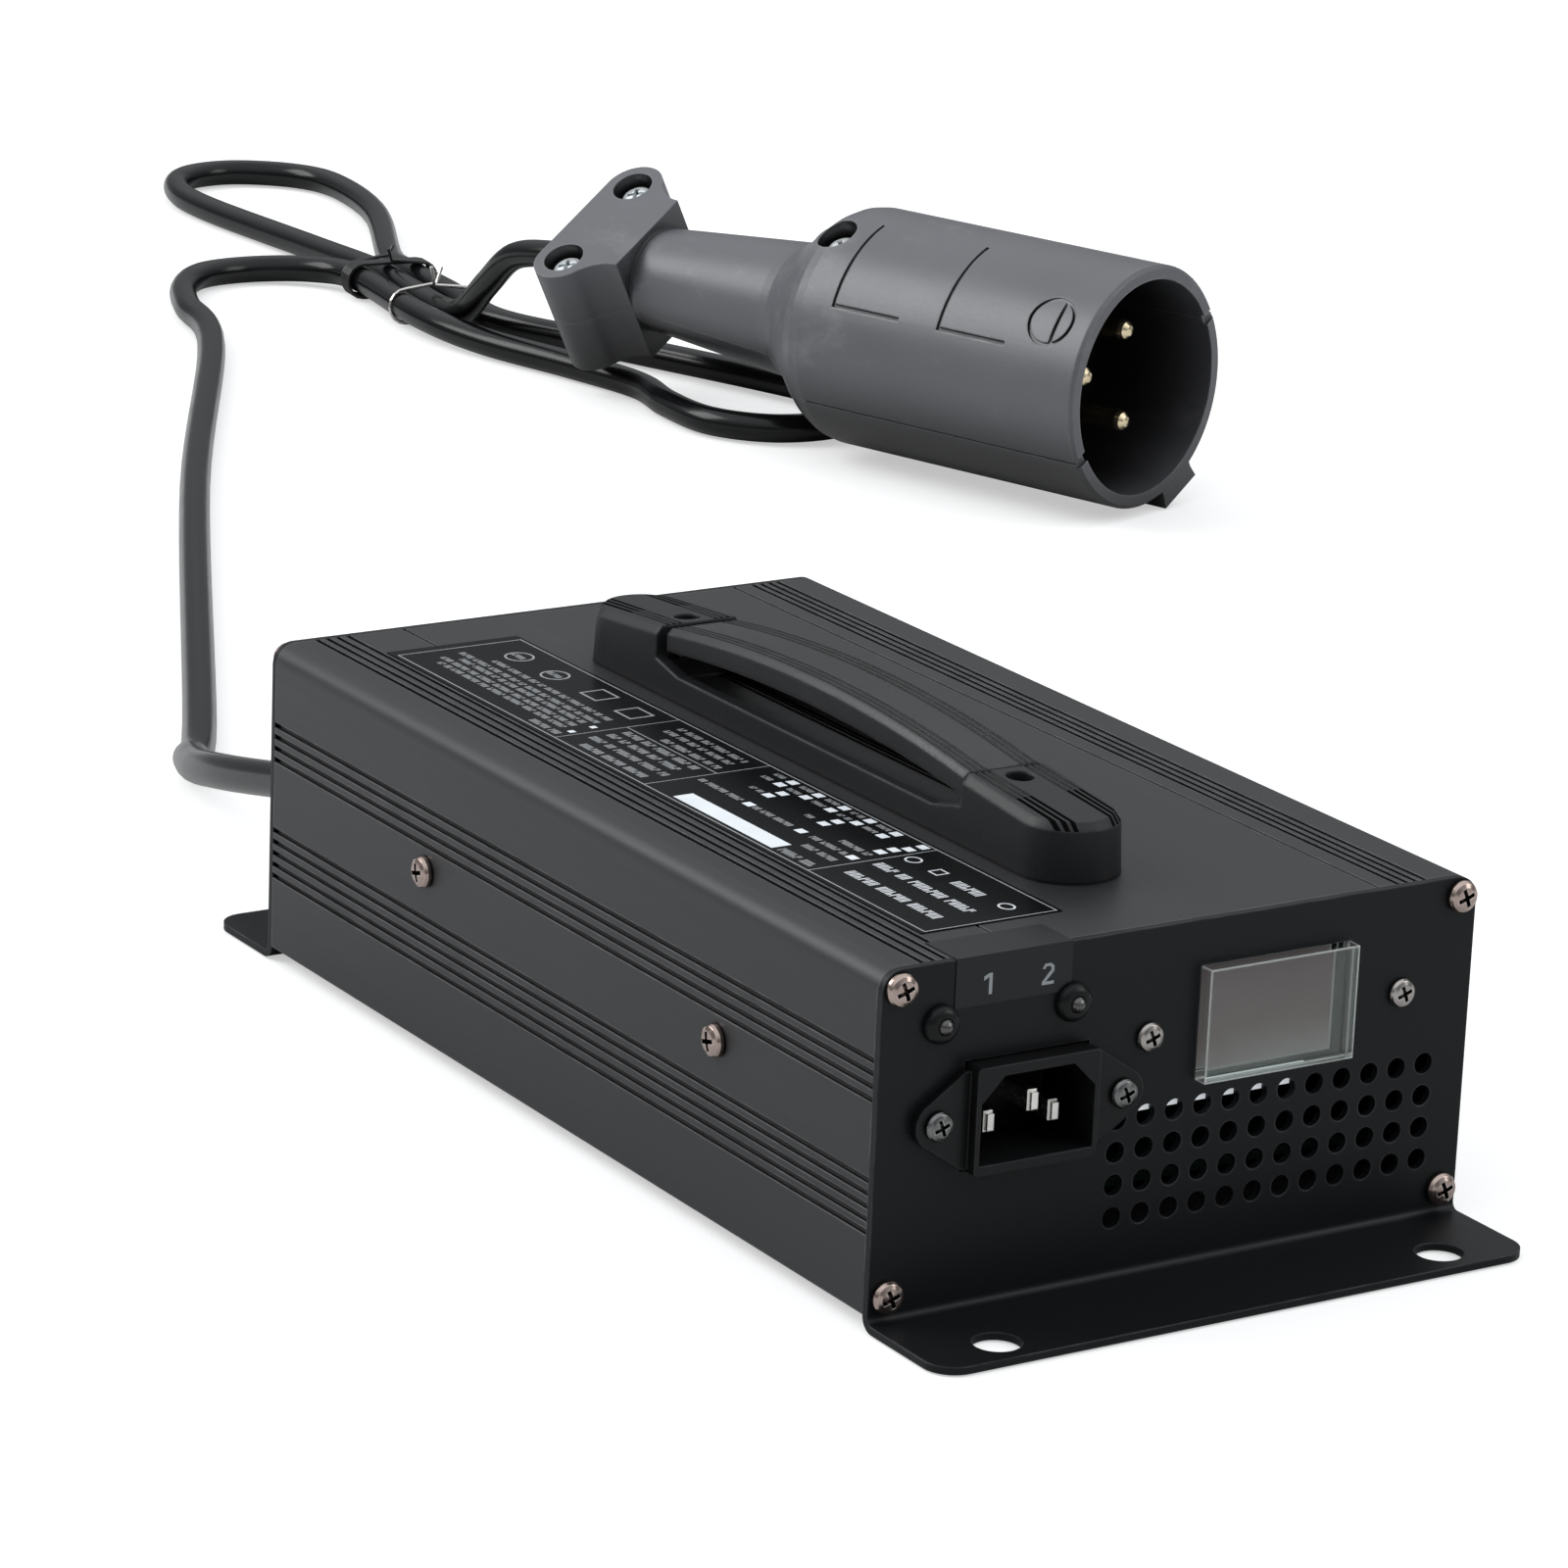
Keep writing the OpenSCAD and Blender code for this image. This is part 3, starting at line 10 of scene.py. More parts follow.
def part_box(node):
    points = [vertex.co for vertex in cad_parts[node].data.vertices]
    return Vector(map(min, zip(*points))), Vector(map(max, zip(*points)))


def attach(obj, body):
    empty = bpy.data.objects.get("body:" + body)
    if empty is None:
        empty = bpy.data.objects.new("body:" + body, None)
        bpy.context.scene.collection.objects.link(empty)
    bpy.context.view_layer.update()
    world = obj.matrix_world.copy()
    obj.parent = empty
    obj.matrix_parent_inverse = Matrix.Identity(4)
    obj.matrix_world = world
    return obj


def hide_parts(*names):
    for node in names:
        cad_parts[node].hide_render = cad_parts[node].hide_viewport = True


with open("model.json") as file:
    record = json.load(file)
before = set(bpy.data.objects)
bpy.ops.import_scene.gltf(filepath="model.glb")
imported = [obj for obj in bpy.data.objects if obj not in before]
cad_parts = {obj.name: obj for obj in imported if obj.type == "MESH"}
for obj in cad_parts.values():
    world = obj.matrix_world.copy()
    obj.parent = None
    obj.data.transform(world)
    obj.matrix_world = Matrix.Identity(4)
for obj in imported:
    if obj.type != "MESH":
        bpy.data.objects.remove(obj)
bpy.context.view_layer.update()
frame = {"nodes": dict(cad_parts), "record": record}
BASE = "base"
MM = 0.001

# Camera of the photograph, in metres and degrees
FOCAL_LENGTH = 145.27
SENSOR_WIDTH = 36.0
CAMERA_PLACE = (-0.65046, -0.98924, 0.42410)
CAMERA_AZIMUTH = -32.744
CAMERA_ELEVATION = 17.045
CAMERA_ROLL = 2.394
CAMERA_REACH = 30

# Cord, in millimetres
CORD_DIAMETER = 8.0
CORD_SIDES = 20
CORD_STEPS = 8
PLUG_MOUTH = Vector((314.3, 341, 35.447))
PLUG_TURN = math.radians(18)
PLUG_LENGTH = 200
CORD_END = 12
TIE_Z = 5.7

# Print on the case and the panel, in millimetres
FILM_TOP = 68.2
PRINT_THICKNESS = 0.03
WHITE_BAR_THICKNESS = 0.04
LAMP_STRIP_Y = -115.2
FIRST_DIGIT_X = -44.5
SECOND_DIGIT_X = -32.0
DIGIT_Z = 60.6

# Letters of small print, as shares of their size: a full bar over one that may be cut short
LETTER_PITCH = 0.64
LETTER_ROOM = 0.55
WORD_GAP = 0.55
FULL_BAR = 0.17
CUT_BAR_HIGH = 0.3
CUT_BAR_LOW = 0.46

# Light bar of the display, whose teeth glow with painted light through the top row of vents, in
# millimetres
BAR_FRONT = 113.3
BAR_THICKNESS = 1.2
BAR_LEFT = -9.5
BAR_RIGHT = 29.0
BAR_LOW = 34.6
BAR_HIGH = 36.5
TOOTH_FIRST = -8.1
TOOTH_PITCH = 6.35
TOOTH_WIDTH = 2.8
TOOTH_LOW = 32.3
TEETH = 6

# Grooves of the handle, darkened with painted shade, in metres: its centre, their places beside it,
# half a groove's width
HANDLE_GROOVES = (-0.0026, (0.0042, 0.0056, 0.0070), 0.0004)

# Stage, in metres and watts
FLOOR_HALF = 6
FLOOR_Z = -0.0004
KEY_PLACE = (-1.5, 1.45, 1.5)
KEY_AIM = (0.08, 0.2, 0.05)
KEY_POWER = 38
KEY_SIZE = 1.5
FILL_PLACE = (1.8, -1.4, 1.3)
FILL_AIM = (0.0, 0.0, 0.05)
FILL_POWER = 12
FILL_SIZE = 1.2


def add_object(name, data):
    o = bpy.data.objects.new(name, data)
    bpy.context.scene.collection.objects.link(o)
    return o


def make_camera():
    data = bpy.data.cameras.new("view_camera")
    data.lens = FOCAL_LENGTH
    data.sensor_width = SENSOR_WIDTH
    data.sensor_fit = "HORIZONTAL"
    data.clip_end = CAMERA_REACH
    cam = add_object("view_camera", data)
    azimuth = math.radians(CAMERA_AZIMUTH)
    elevation = math.radians(CAMERA_ELEVATION)
    roll = math.radians(CAMERA_ROLL)
    back = Vector((math.sin(azimuth) * math.cos(elevation),
                   -math.cos(azimuth) * math.cos(elevation), math.sin(elevation)))
    level_right = Vector((math.cos(azimuth), math.sin(azimuth), 0))
    level_up = back.cross(level_right)
    right = level_right * math.cos(roll) + level_up * math.sin(roll)
    up = level_up * math.cos(roll) - level_right * math.sin(roll)
    turn = Matrix((right, up, back)).transposed()
    cam.matrix_world = Matrix.Translation(CAMERA_PLACE) @ turn.to_4x4()
    bpy.context.scene.camera = cam


make_camera()

# Materials by name; a material for a slot of the record has the slot's name
finish = {}
DUST_COLOUR = (0.2, 0.2, 0.2)
GROOVE_SPECULAR = 0.03


def new_material(name):
    m = bpy.data.materials.new(name)
    m.use_nodes = True
    finish[name] = m
    return m.node_tree, m.node_tree.nodes["Principled BSDF"]


def node(tree, kind, **values):
    n = tree.nodes.new(kind)
    for key, value in values.items():
        setattr(n, key, value)
    return n


def put(tree, socket, value):
    """Links a socket, or sets a number or a colour."""
    if isinstance(value, bpy.types.NodeSocket):
        tree.links.new(value, socket)
    elif isinstance(value, (int, float)):
        socket.default_value = value
    else:
        socket.default_value = (*value, 1)


def maths(tree, operation, *values, use_clamp=False):
    n = node(tree, "ShaderNodeMath", operation=operation, use_clamp=use_clamp)
    for socket, value in zip(n.inputs, values):
        put(tree, socket, value)
    return n.outputs[0]


def coords(tree, scale=(1, 1, 1), rotation=(0, 0, 0)):
    where = node(tree, "ShaderNodeTexCoord")
    turned = node(tree, "ShaderNodeMapping")
    turned.inputs["Scale"].default_value = scale
    turned.inputs["Rotation"].default_value = rotation
    tree.links.new(where.outputs["Object"], turned.inputs["Vector"])
    return turned.outputs["Vector"]


def split(tree, vector):
    n = node(tree, "ShaderNodeSeparateXYZ")
    tree.links.new(vector, n.inputs[0])
    return n.outputs


def noise(tree, vector, scale, detail=4.0, rough=0.55):
    n = node(tree, "ShaderNodeTexNoise")
    n.inputs["Scale"].default_value = scale
    n.inputs["Detail"].default_value = detail
    n.inputs["Roughness"].default_value = rough
    tree.links.new(vector, n.inputs["Vector"])
    return n.outputs["Fac"]


def remap(tree, value, low, high, out_low, out_high):
    n = node(tree, "ShaderNodeMapRange")
    ends = ("From Min", "From Max", "To Min", "To Max")
    for key, end in zip(ends, (low, high, out_low, out_high)):
        n.inputs[key].default_value = end
    tree.links.new(value, n.inputs["Value"])
    return n.outputs["Result"]


def ramp(tree, value, stops):
    n = node(tree, "ShaderNodeValToRGB")
    elements = n.color_ramp.elements
    while len(elements) < len(stops):
        elements.new(0.5)
    for e, (place, colour) in zip(elements, stops):
        e.position = place
        e.color = (*colour, 1)
    tree.links.new(value, n.inputs["Fac"])
    return n.outputs["Color"]


def mix(tree, share, a, b):
    n = node(tree, "ShaderNodeMix", data_type="RGBA")
    for socket, value in ((n.inputs["Factor"], share), (n.inputs[6], a), (n.inputs[7], b)):
        put(tree, socket, value)
    return n.outputs[2]


def bevel_normal(tree, radius, samples):
    n = node(tree, "ShaderNodeBevel", samples=samples)
    n.inputs["Radius"].default_value = radius
    return n.outputs["Normal"]


def face_normal(tree):
    return node(tree, "ShaderNodeNewGeometry").outputs["Normal"]


def bump(tree, bsdf, height, strength, distance, edge=0.0):
    n = node(tree, "ShaderNodeBump")
    n.inputs["Strength"].default_value = strength
    n.inputs["Distance"].default_value = distance
    tree.links.new(height, n.inputs["Height"])
    if edge:
        tree.links.new(bevel_normal(tree, edge, 4), n.inputs["Normal"])
    tree.links.new(n.outputs["Normal"], bsdf.inputs["Normal"])


def edge_wear(tree, radius):
    """1 along edges within the radius, 0 on open faces, from how far a bevelled normal turns."""
    flat = 0.985
    turned = 0.85
    n = node(tree, "ShaderNodeVectorMath", operation="DOT_PRODUCT")
    tree.links.new(bevel_normal(tree, radius, 6), n.inputs[0])
    tree.links.new(face_normal(tree), n.inputs[1])
    return remap(tree, n.outputs["Value"], flat, turned, 0, 1)


def hollow_shade(tree, tint, reach, low, high, least):
    """Paints shade: darkens the colour where near surfaces close it in."""
    n = node(tree, "ShaderNodeAmbientOcclusion", samples=8)
    n.inputs["Distance"].default_value = reach
    return mix(tree, remap(tree, n.outputs["AO"], low, high, least, 1), (0, 0, 0), tint)


def long_grooves(tree, centre, places, half):
    """1 in the grooves that run along y on an upper face, at the places on both sides."""
    soft = 0.3
    steep = 0.5
    level = 0.7
    off = maths(tree, "SUBTRACT", split(tree, coords(tree))["X"], centre)
    side = maths(tree, "ABSOLUTE", off)
    found = 0.0
    for place in places:
        away = maths(tree, "ABSOLUTE", maths(tree, "SUBTRACT", side, place))
        inside = remap(tree, away, half * (1 + soft), half * (1 - soft), 0, 1)
        found = maths(tree, "MAXIMUM", found, inside)
    faces_up = remap(tree, split(tree, face_normal(tree))["Z"], steep, level, 0, 1)
    return maths(tree, "MULTIPLY", found, faces_up)


def dusted(tree, tint, amount):
    speck = noise(tree, coords(tree), 900.0, detail=2.0, rough=0.7)
    return mix(tree, remap(tree, speck, 0.74, 0.84, 0, amount), tint, DUST_COLOUR)


def scuffed(tree, tint, amount, shade):
    slanted = coords(tree, scale=(1, 0.5, 1), rotation=(0.3, 0.2, 0.5))
    smear = noise(tree, slanted, 42.0, detail=6.0, rough=0.72)
    return mix(tree, remap(tree, smear, 0.58, 0.74, 0, amount), tint, shade)


def worn_and_highlit(tree, tint, radius, shade):
    """Rubs the edges to the shade colour, partly as wear and partly as a painted highlight, more in
    some places than in others.
    """
    uneven = remap(tree, noise(tree, coords(tree), 160.0), 0.35, 0.65, 0.2, 1)
    rubbed_and_lit = maths(tree, "MULTIPLY", edge_wear(tree, radius), uneven)
    return mix(tree, rubbed_and_lit, tint, shade)


def surface(name, colour, rough, metallic=0.0, spread=0.15, patch=30.0, grain=900.0,
            grain_bump=0.12, grain_depth=0.0001, stretch=(1, 1, 1), edge=0.0003, wear=None,
            wear_radius=0.0006, dust=0.0, specular=0.5, coat=0.0, coat_rough=0.2, hollow=None,
            scuff=None, painted_groove_shade=None):
    """Finish with patchy colour, grain in roughness and height, and soft edges.

    It may have edges partly worn and partly painted as highlights, specks of dust, painted shade in
    hollows, scuffs and painted shade in the handle's grooves.
    """
    tree, bsdf = new_material(name)
    where = coords(tree, stretch)
    broad = noise(tree, where, patch, detail=5.0)
    fine = noise(tree, where, grain, detail=3.0)
    dark = [c * (1 - spread) for c in colour]
    light = [min(1.0, c * (1 + spread)) for c in colour]
    tint = ramp(tree, broad, [(0.2, dark), (0.8, light)])
    if dust:
        tint = dusted(tree, tint, dust)
    if scuff:
        tint = scuffed(tree, tint, *scuff)
    # Edges lightened partly as wear and partly as a painted highlight
    if wear:
        tint = worn_and_highlit(tree, tint, wear_radius, wear)
    # Painted shade where near surfaces close the face in
    if hollow:
        tint = hollow_shade(tree, tint, *hollow)
    both = maths(tree, "MULTIPLY", maths(tree, "ADD", broad, fine), 0.5)
    roughness = remap(tree, both, 0.3, 0.7, *rough)
    # Painted shade: the handle's grooves are darkened toward black
    if painted_groove_shade:
        groove_shade = long_grooves(tree, *painted_groove_shade)
        tint = mix(tree, groove_shade, tint, (0, 0, 0))
        roughness = maths(tree, "ADD", roughness, groove_shade, use_clamp=True)
        specular = remap(tree, groove_shade, 0, 1, specular, GROOVE_SPECULAR)
    put(tree, bsdf.inputs["Base Color"], tint)
    put(tree, bsdf.inputs["Roughness"], roughness)
    put(tree, bsdf.inputs["Specular IOR Level"], specular)
    put(tree, bsdf.inputs["Metallic"], metallic)
    if coat:
        put(tree, bsdf.inputs["Coat Weight"], coat)
        put(tree, bsdf.inputs["Coat Roughness"], coat_rough)
    bump(tree, bsdf, fine, grain_bump, grain_depth, edge)


def clear_block(name, colour, rough, rim):
    """Clear block whose edges are painted pale as a highlight, and which lets light through."""
    tree, bsdf = new_material(name)
    where = coords(tree)
    shaded = [c * 0.94 for c in colour]
    tint = ramp(tree, noise(tree, where, 60.0), [(0.3, shaded), (0.7, colour)])
    painted_lit_edge = edge_wear(tree, rim)
    put(tree, bsdf.inputs["Base Color"], mix(tree, painted_lit_edge, tint, (0.95, 0.99, 0.97)))
    smear = remap(tree, noise(tree, where, 220.0), 0.3, 0.7, rough, rough * 2.2)
    put(tree, bsdf.inputs["Roughness"], smear)
    bsdf.inputs["IOR"].default_value = 1.49
    put(tree, bsdf.inputs["Transmission Weight"], remap(tree, painted_lit_edge, 0, 1, 1.0, 0.45))
    shadow = node(tree, "ShaderNodeLightPath").outputs["Is Shadow Ray"]
    put(tree, bsdf.inputs["Alpha"], remap(tree, shadow, 0, 1, 1.0, 0.12))
    bump(tree, bsdf, noise(tree, where, 500.0), 0.02, 0.00005, 0.0002)


def display_screen(name, node_name):
    """Unlit grey screen, lighter toward its foot, with thin painted highlight lines at top, bottom
    and right.
    """
    tree, bsdf = new_material(name)
    low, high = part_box(node_name)
    where = coords(tree)
    place = split(tree, where)
    down = remap(tree, place["Z"], low.z, high.z, 1, 0)
    cloud = remap(tree, noise(tree, where, 70.0), 0.3, 0.7, -0.12, 0.12)
    greys = [(0.0, (0.68, 0.60, 0.615)), (0.6, (0.78, 0.71, 0.71)), (1.0, (0.97, 0.94, 0.94))]
    tint = ramp(tree, maths(tree, "ADD", down, cloud), greys)
    # Painted highlight lines along the bottom, the top and the right edge
    for axis, start, end in (("Z", low.z + 0.0007, low.z + 0.0005),
                             ("Z", high.z - 0.0005, high.z - 0.0003),
                             ("X", high.x - 0.0006, high.x - 0.0004)):
        tint = mix(tree, remap(tree, place[axis], start, end, 0, 1), tint, (1.0, 1.0, 1.0))
    put(tree, bsdf.inputs["Base Color"], tint)
    smear = remap(tree, noise(tree, where, 900.0), 0.3, 0.7, 0.3, 0.42)
    put(tree, bsdf.inputs["Roughness"], smear)
    bump(tree, bsdf, noise(tree, where, 1200.0), 0.03, 0.00003)


def plated_screw(name, colour, rough, **values):
    # By default painted shade darkens the cross recesses
    settings = dict(metallic=1.0, spread=0.18, patch=240.0, grain=1700.0, grain_bump=0.1,
                    grain_depth=0.00004, edge=0.00025, hollow=(0.0014, 0.35, 0.8, 0.03))
    settings.update(values)
    surface(name, colour, rough, **settings)


def ink(name, colour, rough, spread):
    surface(name, colour, rough, spread=spread, patch=160.0, grain_bump=0.04,
            grain_depth=0.00003, edge=0.0)


# Case, brushed along its length, and its painted panels
surface("case_black", (0.0165, 0.0172, 0.0188), (0.38, 0.46), spread=0.07, patch=9.0,
        grain_bump=0.10, grain_depth=0.00005, stretch=(1.0, 0.03, 1.0), edge=0.0004,
        wear=(0.14, 0.14, 0.145), dust=0.2, specular=0.4, hollow=(0.0014, 0.5, 0.88, 0.02),
        scuff=(0.12, (0.05, 0.05, 0.052)))
surface("panel_black", (0.0060, 0.0068, 0.0077), (0.34, 0.44), spread=0.08, patch=16.0,
        grain=1700.0, grain_bump=0.14, grain_depth=0.00006, edge=0.0004, wear=(0.06, 0.062, 0.066),
        dust=0.12, specular=0.18)

# Screws, nuts and the bare tie
plated_screw("nickel_screw", (0.42, 0.33, 0.295), (0.12, 0.26), spread=0.22, patch=260.0,
             grain=1800.0, wear=(0.8, 0.74, 0.71))
plated_screw("zinc_screw", (0.55, 0.53, 0.51), (0.18, 0.36), wear=(0.8, 0.79, 0.78))
plated_screw("display_screw_nickel", (0.37, 0.345, 0.33), (0.14, 0.28), wear=(0.7, 0.67, 0.65))
# Nickel screws of the inlet, painted dark as the shade of the inlet's body
plated_screw("inlet_screw_painted_shade", (0.17, 0.17, 0.17), (0.2, 0.36), wear=(0.5, 0.5, 0.5))
plated_screw("plug_screw_zinc", (0.86, 0.90, 0.94), (0.2, 0.34), metallic=0.45, spread=0.12,
             hollow=(0.0011, 0.35, 0.75, 0.08))
surface("black_screw", (0.02, 0.02, 0.021), (0.35, 0.5), metallic=0.6, spread=0.2, patch=200.0,
        grain=1500.0, grain_bump=0.1, grain_depth=0.00004)
OWN_FINISH = {"display_screws": "display_screw_nickel", "inlet_screws": "inlet_screw_painted_shade",
              "plug_screws": "plug_screw_zinc"}

# Inlet, lamps and display
surface("inlet_plastic", (0.0062, 0.0066, 0.0072), (0.28, 0.4), spread=0.12, patch=60.0,
        grain=1400.0, grain_bump=0.08, grain_depth=0.00005, edge=0.0005, wear=(0.035, 0.036, 0.038),
        dust=0.12, specular=0.2, hollow=(0.012, 0.25, 0.7, 0.1))
surface("plated_brass", (0.74, 0.73, 0.70), (0.14, 0.3), metallic=1.0, spread=0.12, patch=300.0,
        grain=1600.0, grain_bump=0.06, grain_depth=0.00003)
surface("holder_plastic", (0.005, 0.0053, 0.0058), (0.25, 0.36), spread=0.12, patch=90.0,
        grain=1400.0, grain_bump=0.06, grain_depth=0.00004, edge=0.0004, specular=0.2)
surface("lamp_clear", (0.03, 0.028, 0.028), (0.1, 0.16), spread=0.2, patch=300.0, grain=1400.0,
        grain_bump=0.03, grain_depth=0.00003, coat=1.0, coat_rough=0.04)
surface("clear_film", (0.0105, 0.0115, 0.0125), (0.26, 0.36), spread=0.08, patch=40.0,
        grain_bump=0.05, grain_depth=0.00005, edge=0.0, specular=0.24)
clear_block("window_clear", (0.86, 0.93, 0.90), 0.02, 0.0009)
display_screen("display_grey", "display_face")

# Handle and label
surface("handle_plastic", (0.010, 0.0104, 0.0115), (0.38, 0.48), spread=0.08, patch=45.0,
        grain=1300.0, grain_bump=0.2, grain_depth=0.00009, edge=0.001, wear=(0.07, 0.07, 0.073),
        dust=0.2, specular=0.3, hollow=(0.001, 0.45, 0.85, 0.15), painted_groove_shade=HANDLE_GROOVES)
surface("strap_rubber", (0.012, 0.0124, 0.0135), (0.30, 0.48), spread=0.1, patch=45.0,
        grain=1200.0, grain_bump=0.2, grain_depth=0.00009, edge=0.001, wear=(0.09, 0.09, 0.093),
        dust=0.2, specular=0.45, hollow=(0.001, 0.45, 0.85, 0.15),
        scuff=(0.3, (0.035, 0.035, 0.037)), painted_groove_shade=HANDLE_GROOVES)
surface("label_film", (0.0022, 0.0025, 0.0029), (0.24, 0.32), spread=0.06, grain=800.0,
        grain_bump=0.05, grain_depth=0.00004, edge=0.0, dust=0.01, specular=0.06)

# Cord, its ties and the plug
surface("cord_black", (0.0030, 0.0032, 0.0036), (0.17, 0.25), spread=0.12, patch=60.0,
        grain_bump=0.1, grain_depth=0.00007, edge=0.0, dust=0.01, specular=0.3,
        scuff=(0.1, (0.02, 0.02, 0.021)))
surface("tie_black", (0.015, 0.015, 0.016), (0.35, 0.5), patch=200.0, grain=1500.0,
        grain_bump=0.1, grain_depth=0.00004)
# The plug's painted shade darkens its inside and its lower side near the floor
surface("plug_plastic", (0.090, 0.091, 0.101), (0.34, 0.44), spread=0.09, grain=1000.0,
        grain_bump=0.26, grain_depth=0.00012, edge=0.0007, wear=(0.23, 0.23, 0.24), dust=0.3,
        specular=0.6, wear_radius=0.0009, hollow=(0.05, 0.42, 0.85, 0.03),
        scuff=(0.35, (0.23, 0.23, 0.24)))
surface("carrier_plastic", (0.003, 0.003, 0.0034), (0.4, 0.55), spread=0.2, patch=60.0,
        grain=1000.0, grain_bump=0.2, specular=0.15)
surface("pin_brass", (0.84, 0.70, 0.47), (0.14, 0.26), metallic=1.0, spread=0.16, patch=260.0,
        grain=1500.0, grain_bump=0.08, grain_depth=0.00004, wear=(0.95, 0.9, 0.78))

# Pieces inside the case, and the fan
surface("fan_plastic", (0.014, 0.014, 0.015), (0.35, 0.5), patch=80.0, grain=1200.0,
        grain_bump=0.1, grain_depth=0.00006)
surface("board_green", (0.009, 0.034, 0.018), (0.3, 0.45), spread=0.25, patch=90.0,
        grain=1100.0, grain_bump=0.1, grain_depth=0.00006)
surface("sheet_fibre", (0.022, 0.021, 0.020), (0.6, 0.75), spread=0.12, patch=60.0,
        grain=1000.0, grain_bump=0.3)
surface("bar_aluminium", (0.62, 0.63, 0.64), (0.3, 0.45), metallic=1.0, spread=0.1, patch=40.0,
        grain=600.0, grain_bump=0.14, grain_depth=0.00006, stretch=(1, 0.1, 3))
surface("device_black", (0.02, 0.02, 0.02), (0.4, 0.55), patch=120.0, grain=1300.0,
        grain_bump=0.15, grain_depth=0.00006)
surface("ferrite", (0.07, 0.07, 0.074), (0.5, 0.65), metallic=0.3, patch=120.0, grain_bump=0.3)
surface("coil_tape", (0.66, 0.45, 0.07), (0.3, 0.42), patch=60.0, grain=700.0, grain_bump=0.15,
        grain_depth=0.00008, stretch=(1, 1, 8))
surface("copper_wire", (0.62, 0.27, 0.11), (0.22, 0.35), metallic=0.8, spread=0.2, patch=120.0,
        grain=500.0, grain_bump=0.6, grain_depth=0.0004)
surface("can_sleeve", (0.02, 0.028, 0.09), (0.25, 0.36), patch=60.0, grain_bump=0.06,
        grain_depth=0.00005)
surface("fuse_glass", (0.62, 0.64, 0.64), (0.08, 0.16), spread=0.12, patch=120.0,
        grain_bump=0.04, grain_depth=0.00004, coat=1.0, coat_rough=0.05)
surface("relay_blue", (0.02, 0.09, 0.36), (0.3, 0.42), spread=0.12, patch=60.0, grain=1000.0,
        grain_bump=0.08, grain_depth=0.00005)

# Print, numbers and the light bar
ink("label_print", (0.30, 0.31, 0.32), (0.4, 0.5), 0.12)
ink("label_bold", (0.62, 0.64, 0.67), (0.4, 0.5), 0.1)
ink("label_white", (0.74, 0.78, 0.82), (0.35, 0.45), 0.05)
ink("number_grey", (0.26, 0.28, 0.30), (0.35, 0.45), 0.05)
ink("light_guide", (0.80, 0.82, 0.84), (0.3, 0.4), 0.05)
# The light bar glows with painted light, though the display is unlit
painted_glow = finish["light_guide"].node_tree.nodes["Principled BSDF"]
painted_glow.inputs["Emission Color"].default_value = (0.9, 0.95, 1.0, 1)
painted_glow.inputs["Emission Strength"].default_value = 0.35

for part in frame["record"]["subparts"]:
    mesh = frame["nodes"][part["node"]].data
    mesh.materials.clear()
    mesh.materials.append(finish[OWN_FINISH.get(part["node"], part["material_slot"])])


def ring_of_points(centre, along, radius, sides):
    side = Vector((0, 0, 1)).cross(along).normalized()
    up = along.cross(side)
    turns = [2 * math.pi * k / sides for k in range(sides)]
    return [centre + radius * (math.cos(a) * side + math.sin(a) * up) for a in turns]


def mesh_from(name, bm, material):
    bmesh.ops.recalc_face_normals(bm, faces=bm.faces)
    mesh = bpy.data.meshes.new(name)
    bm.to_mesh(mesh)
    bm.free()
    mesh.materials.append(finish[material])
    return mesh


# The cord, on the same route as its solid
plug_along = Vector((math.sin(PLUG_TURN), -math.cos(PLUG_TURN), 0))
ROUTE = [(-42, 147, 26), (-37, 193, 15), (-27, 227, 7), (-8, 260, 4), (90, 455, 4), (168, 598, 4),
         (184.2, 645.2, 4), (194.7, 667.9, 4), (207.8, 681, 4), (226.2, 682.6, 4),
         (241.3, 672, 4.8), (246, 653, TIE_Z), (239, 603, TIE_Z), (242.5, 572, 4.4), (252, 538, 4),
         (257.5, 508, 4), (254, 486, 4), (254.6, 464, 4), (266.5, 449.3, 4), (285, 447, 4),
         (299.5, 459, 4), (302.5, 481, 4), (278, 547, 4), (260.3, 583, 4.7), (257.3, 601, TIE_Z),
         (261.2, 624, TIE_Z), (264, 654, TIE_Z), (272, 681, 4), (298, 738, 4), (307.2, 779, 4),
         (303, 800, 4), (286, 813.2, 4), (267.5, 810.5, 4), (256.2, 794, 4), (252.5, 765, 4),
         (256, 698, 4.4), (255, 655, TIE_Z), (248.9, 607.5, TIE_Z), (246.6, 589.5, 9.5),
         (245.8, 575, 20.5), (246.2, 560.4, PLUG_MOUTH.z - 4),
         tuple(PLUG_MOUTH - plug_along * (PLUG_LENGTH + CORD_END)),
         tuple(PLUG_MOUTH - plug_along * PLUG_LENGTH)]


def smooth(points, steps):
    """Catmull-Rom curve through the points."""
    p = [Vector(q) for q in points]
    out = []
    for i in range(len(p) - 1):
        a, b, c, d = p[max(0, i - 1)], p[i], p[i + 1], p[min(len(p) - 1, i + 2)]
        for k in range(steps):
            t = k / steps
            out.append(0.5 * (2 * b + (c - a) * t + (2 * a - 5 * b + 4 * c - d) * t * t
                              + (3 * b - a - 3 * c + d) * t ** 3))
    return out + [p[-1]]


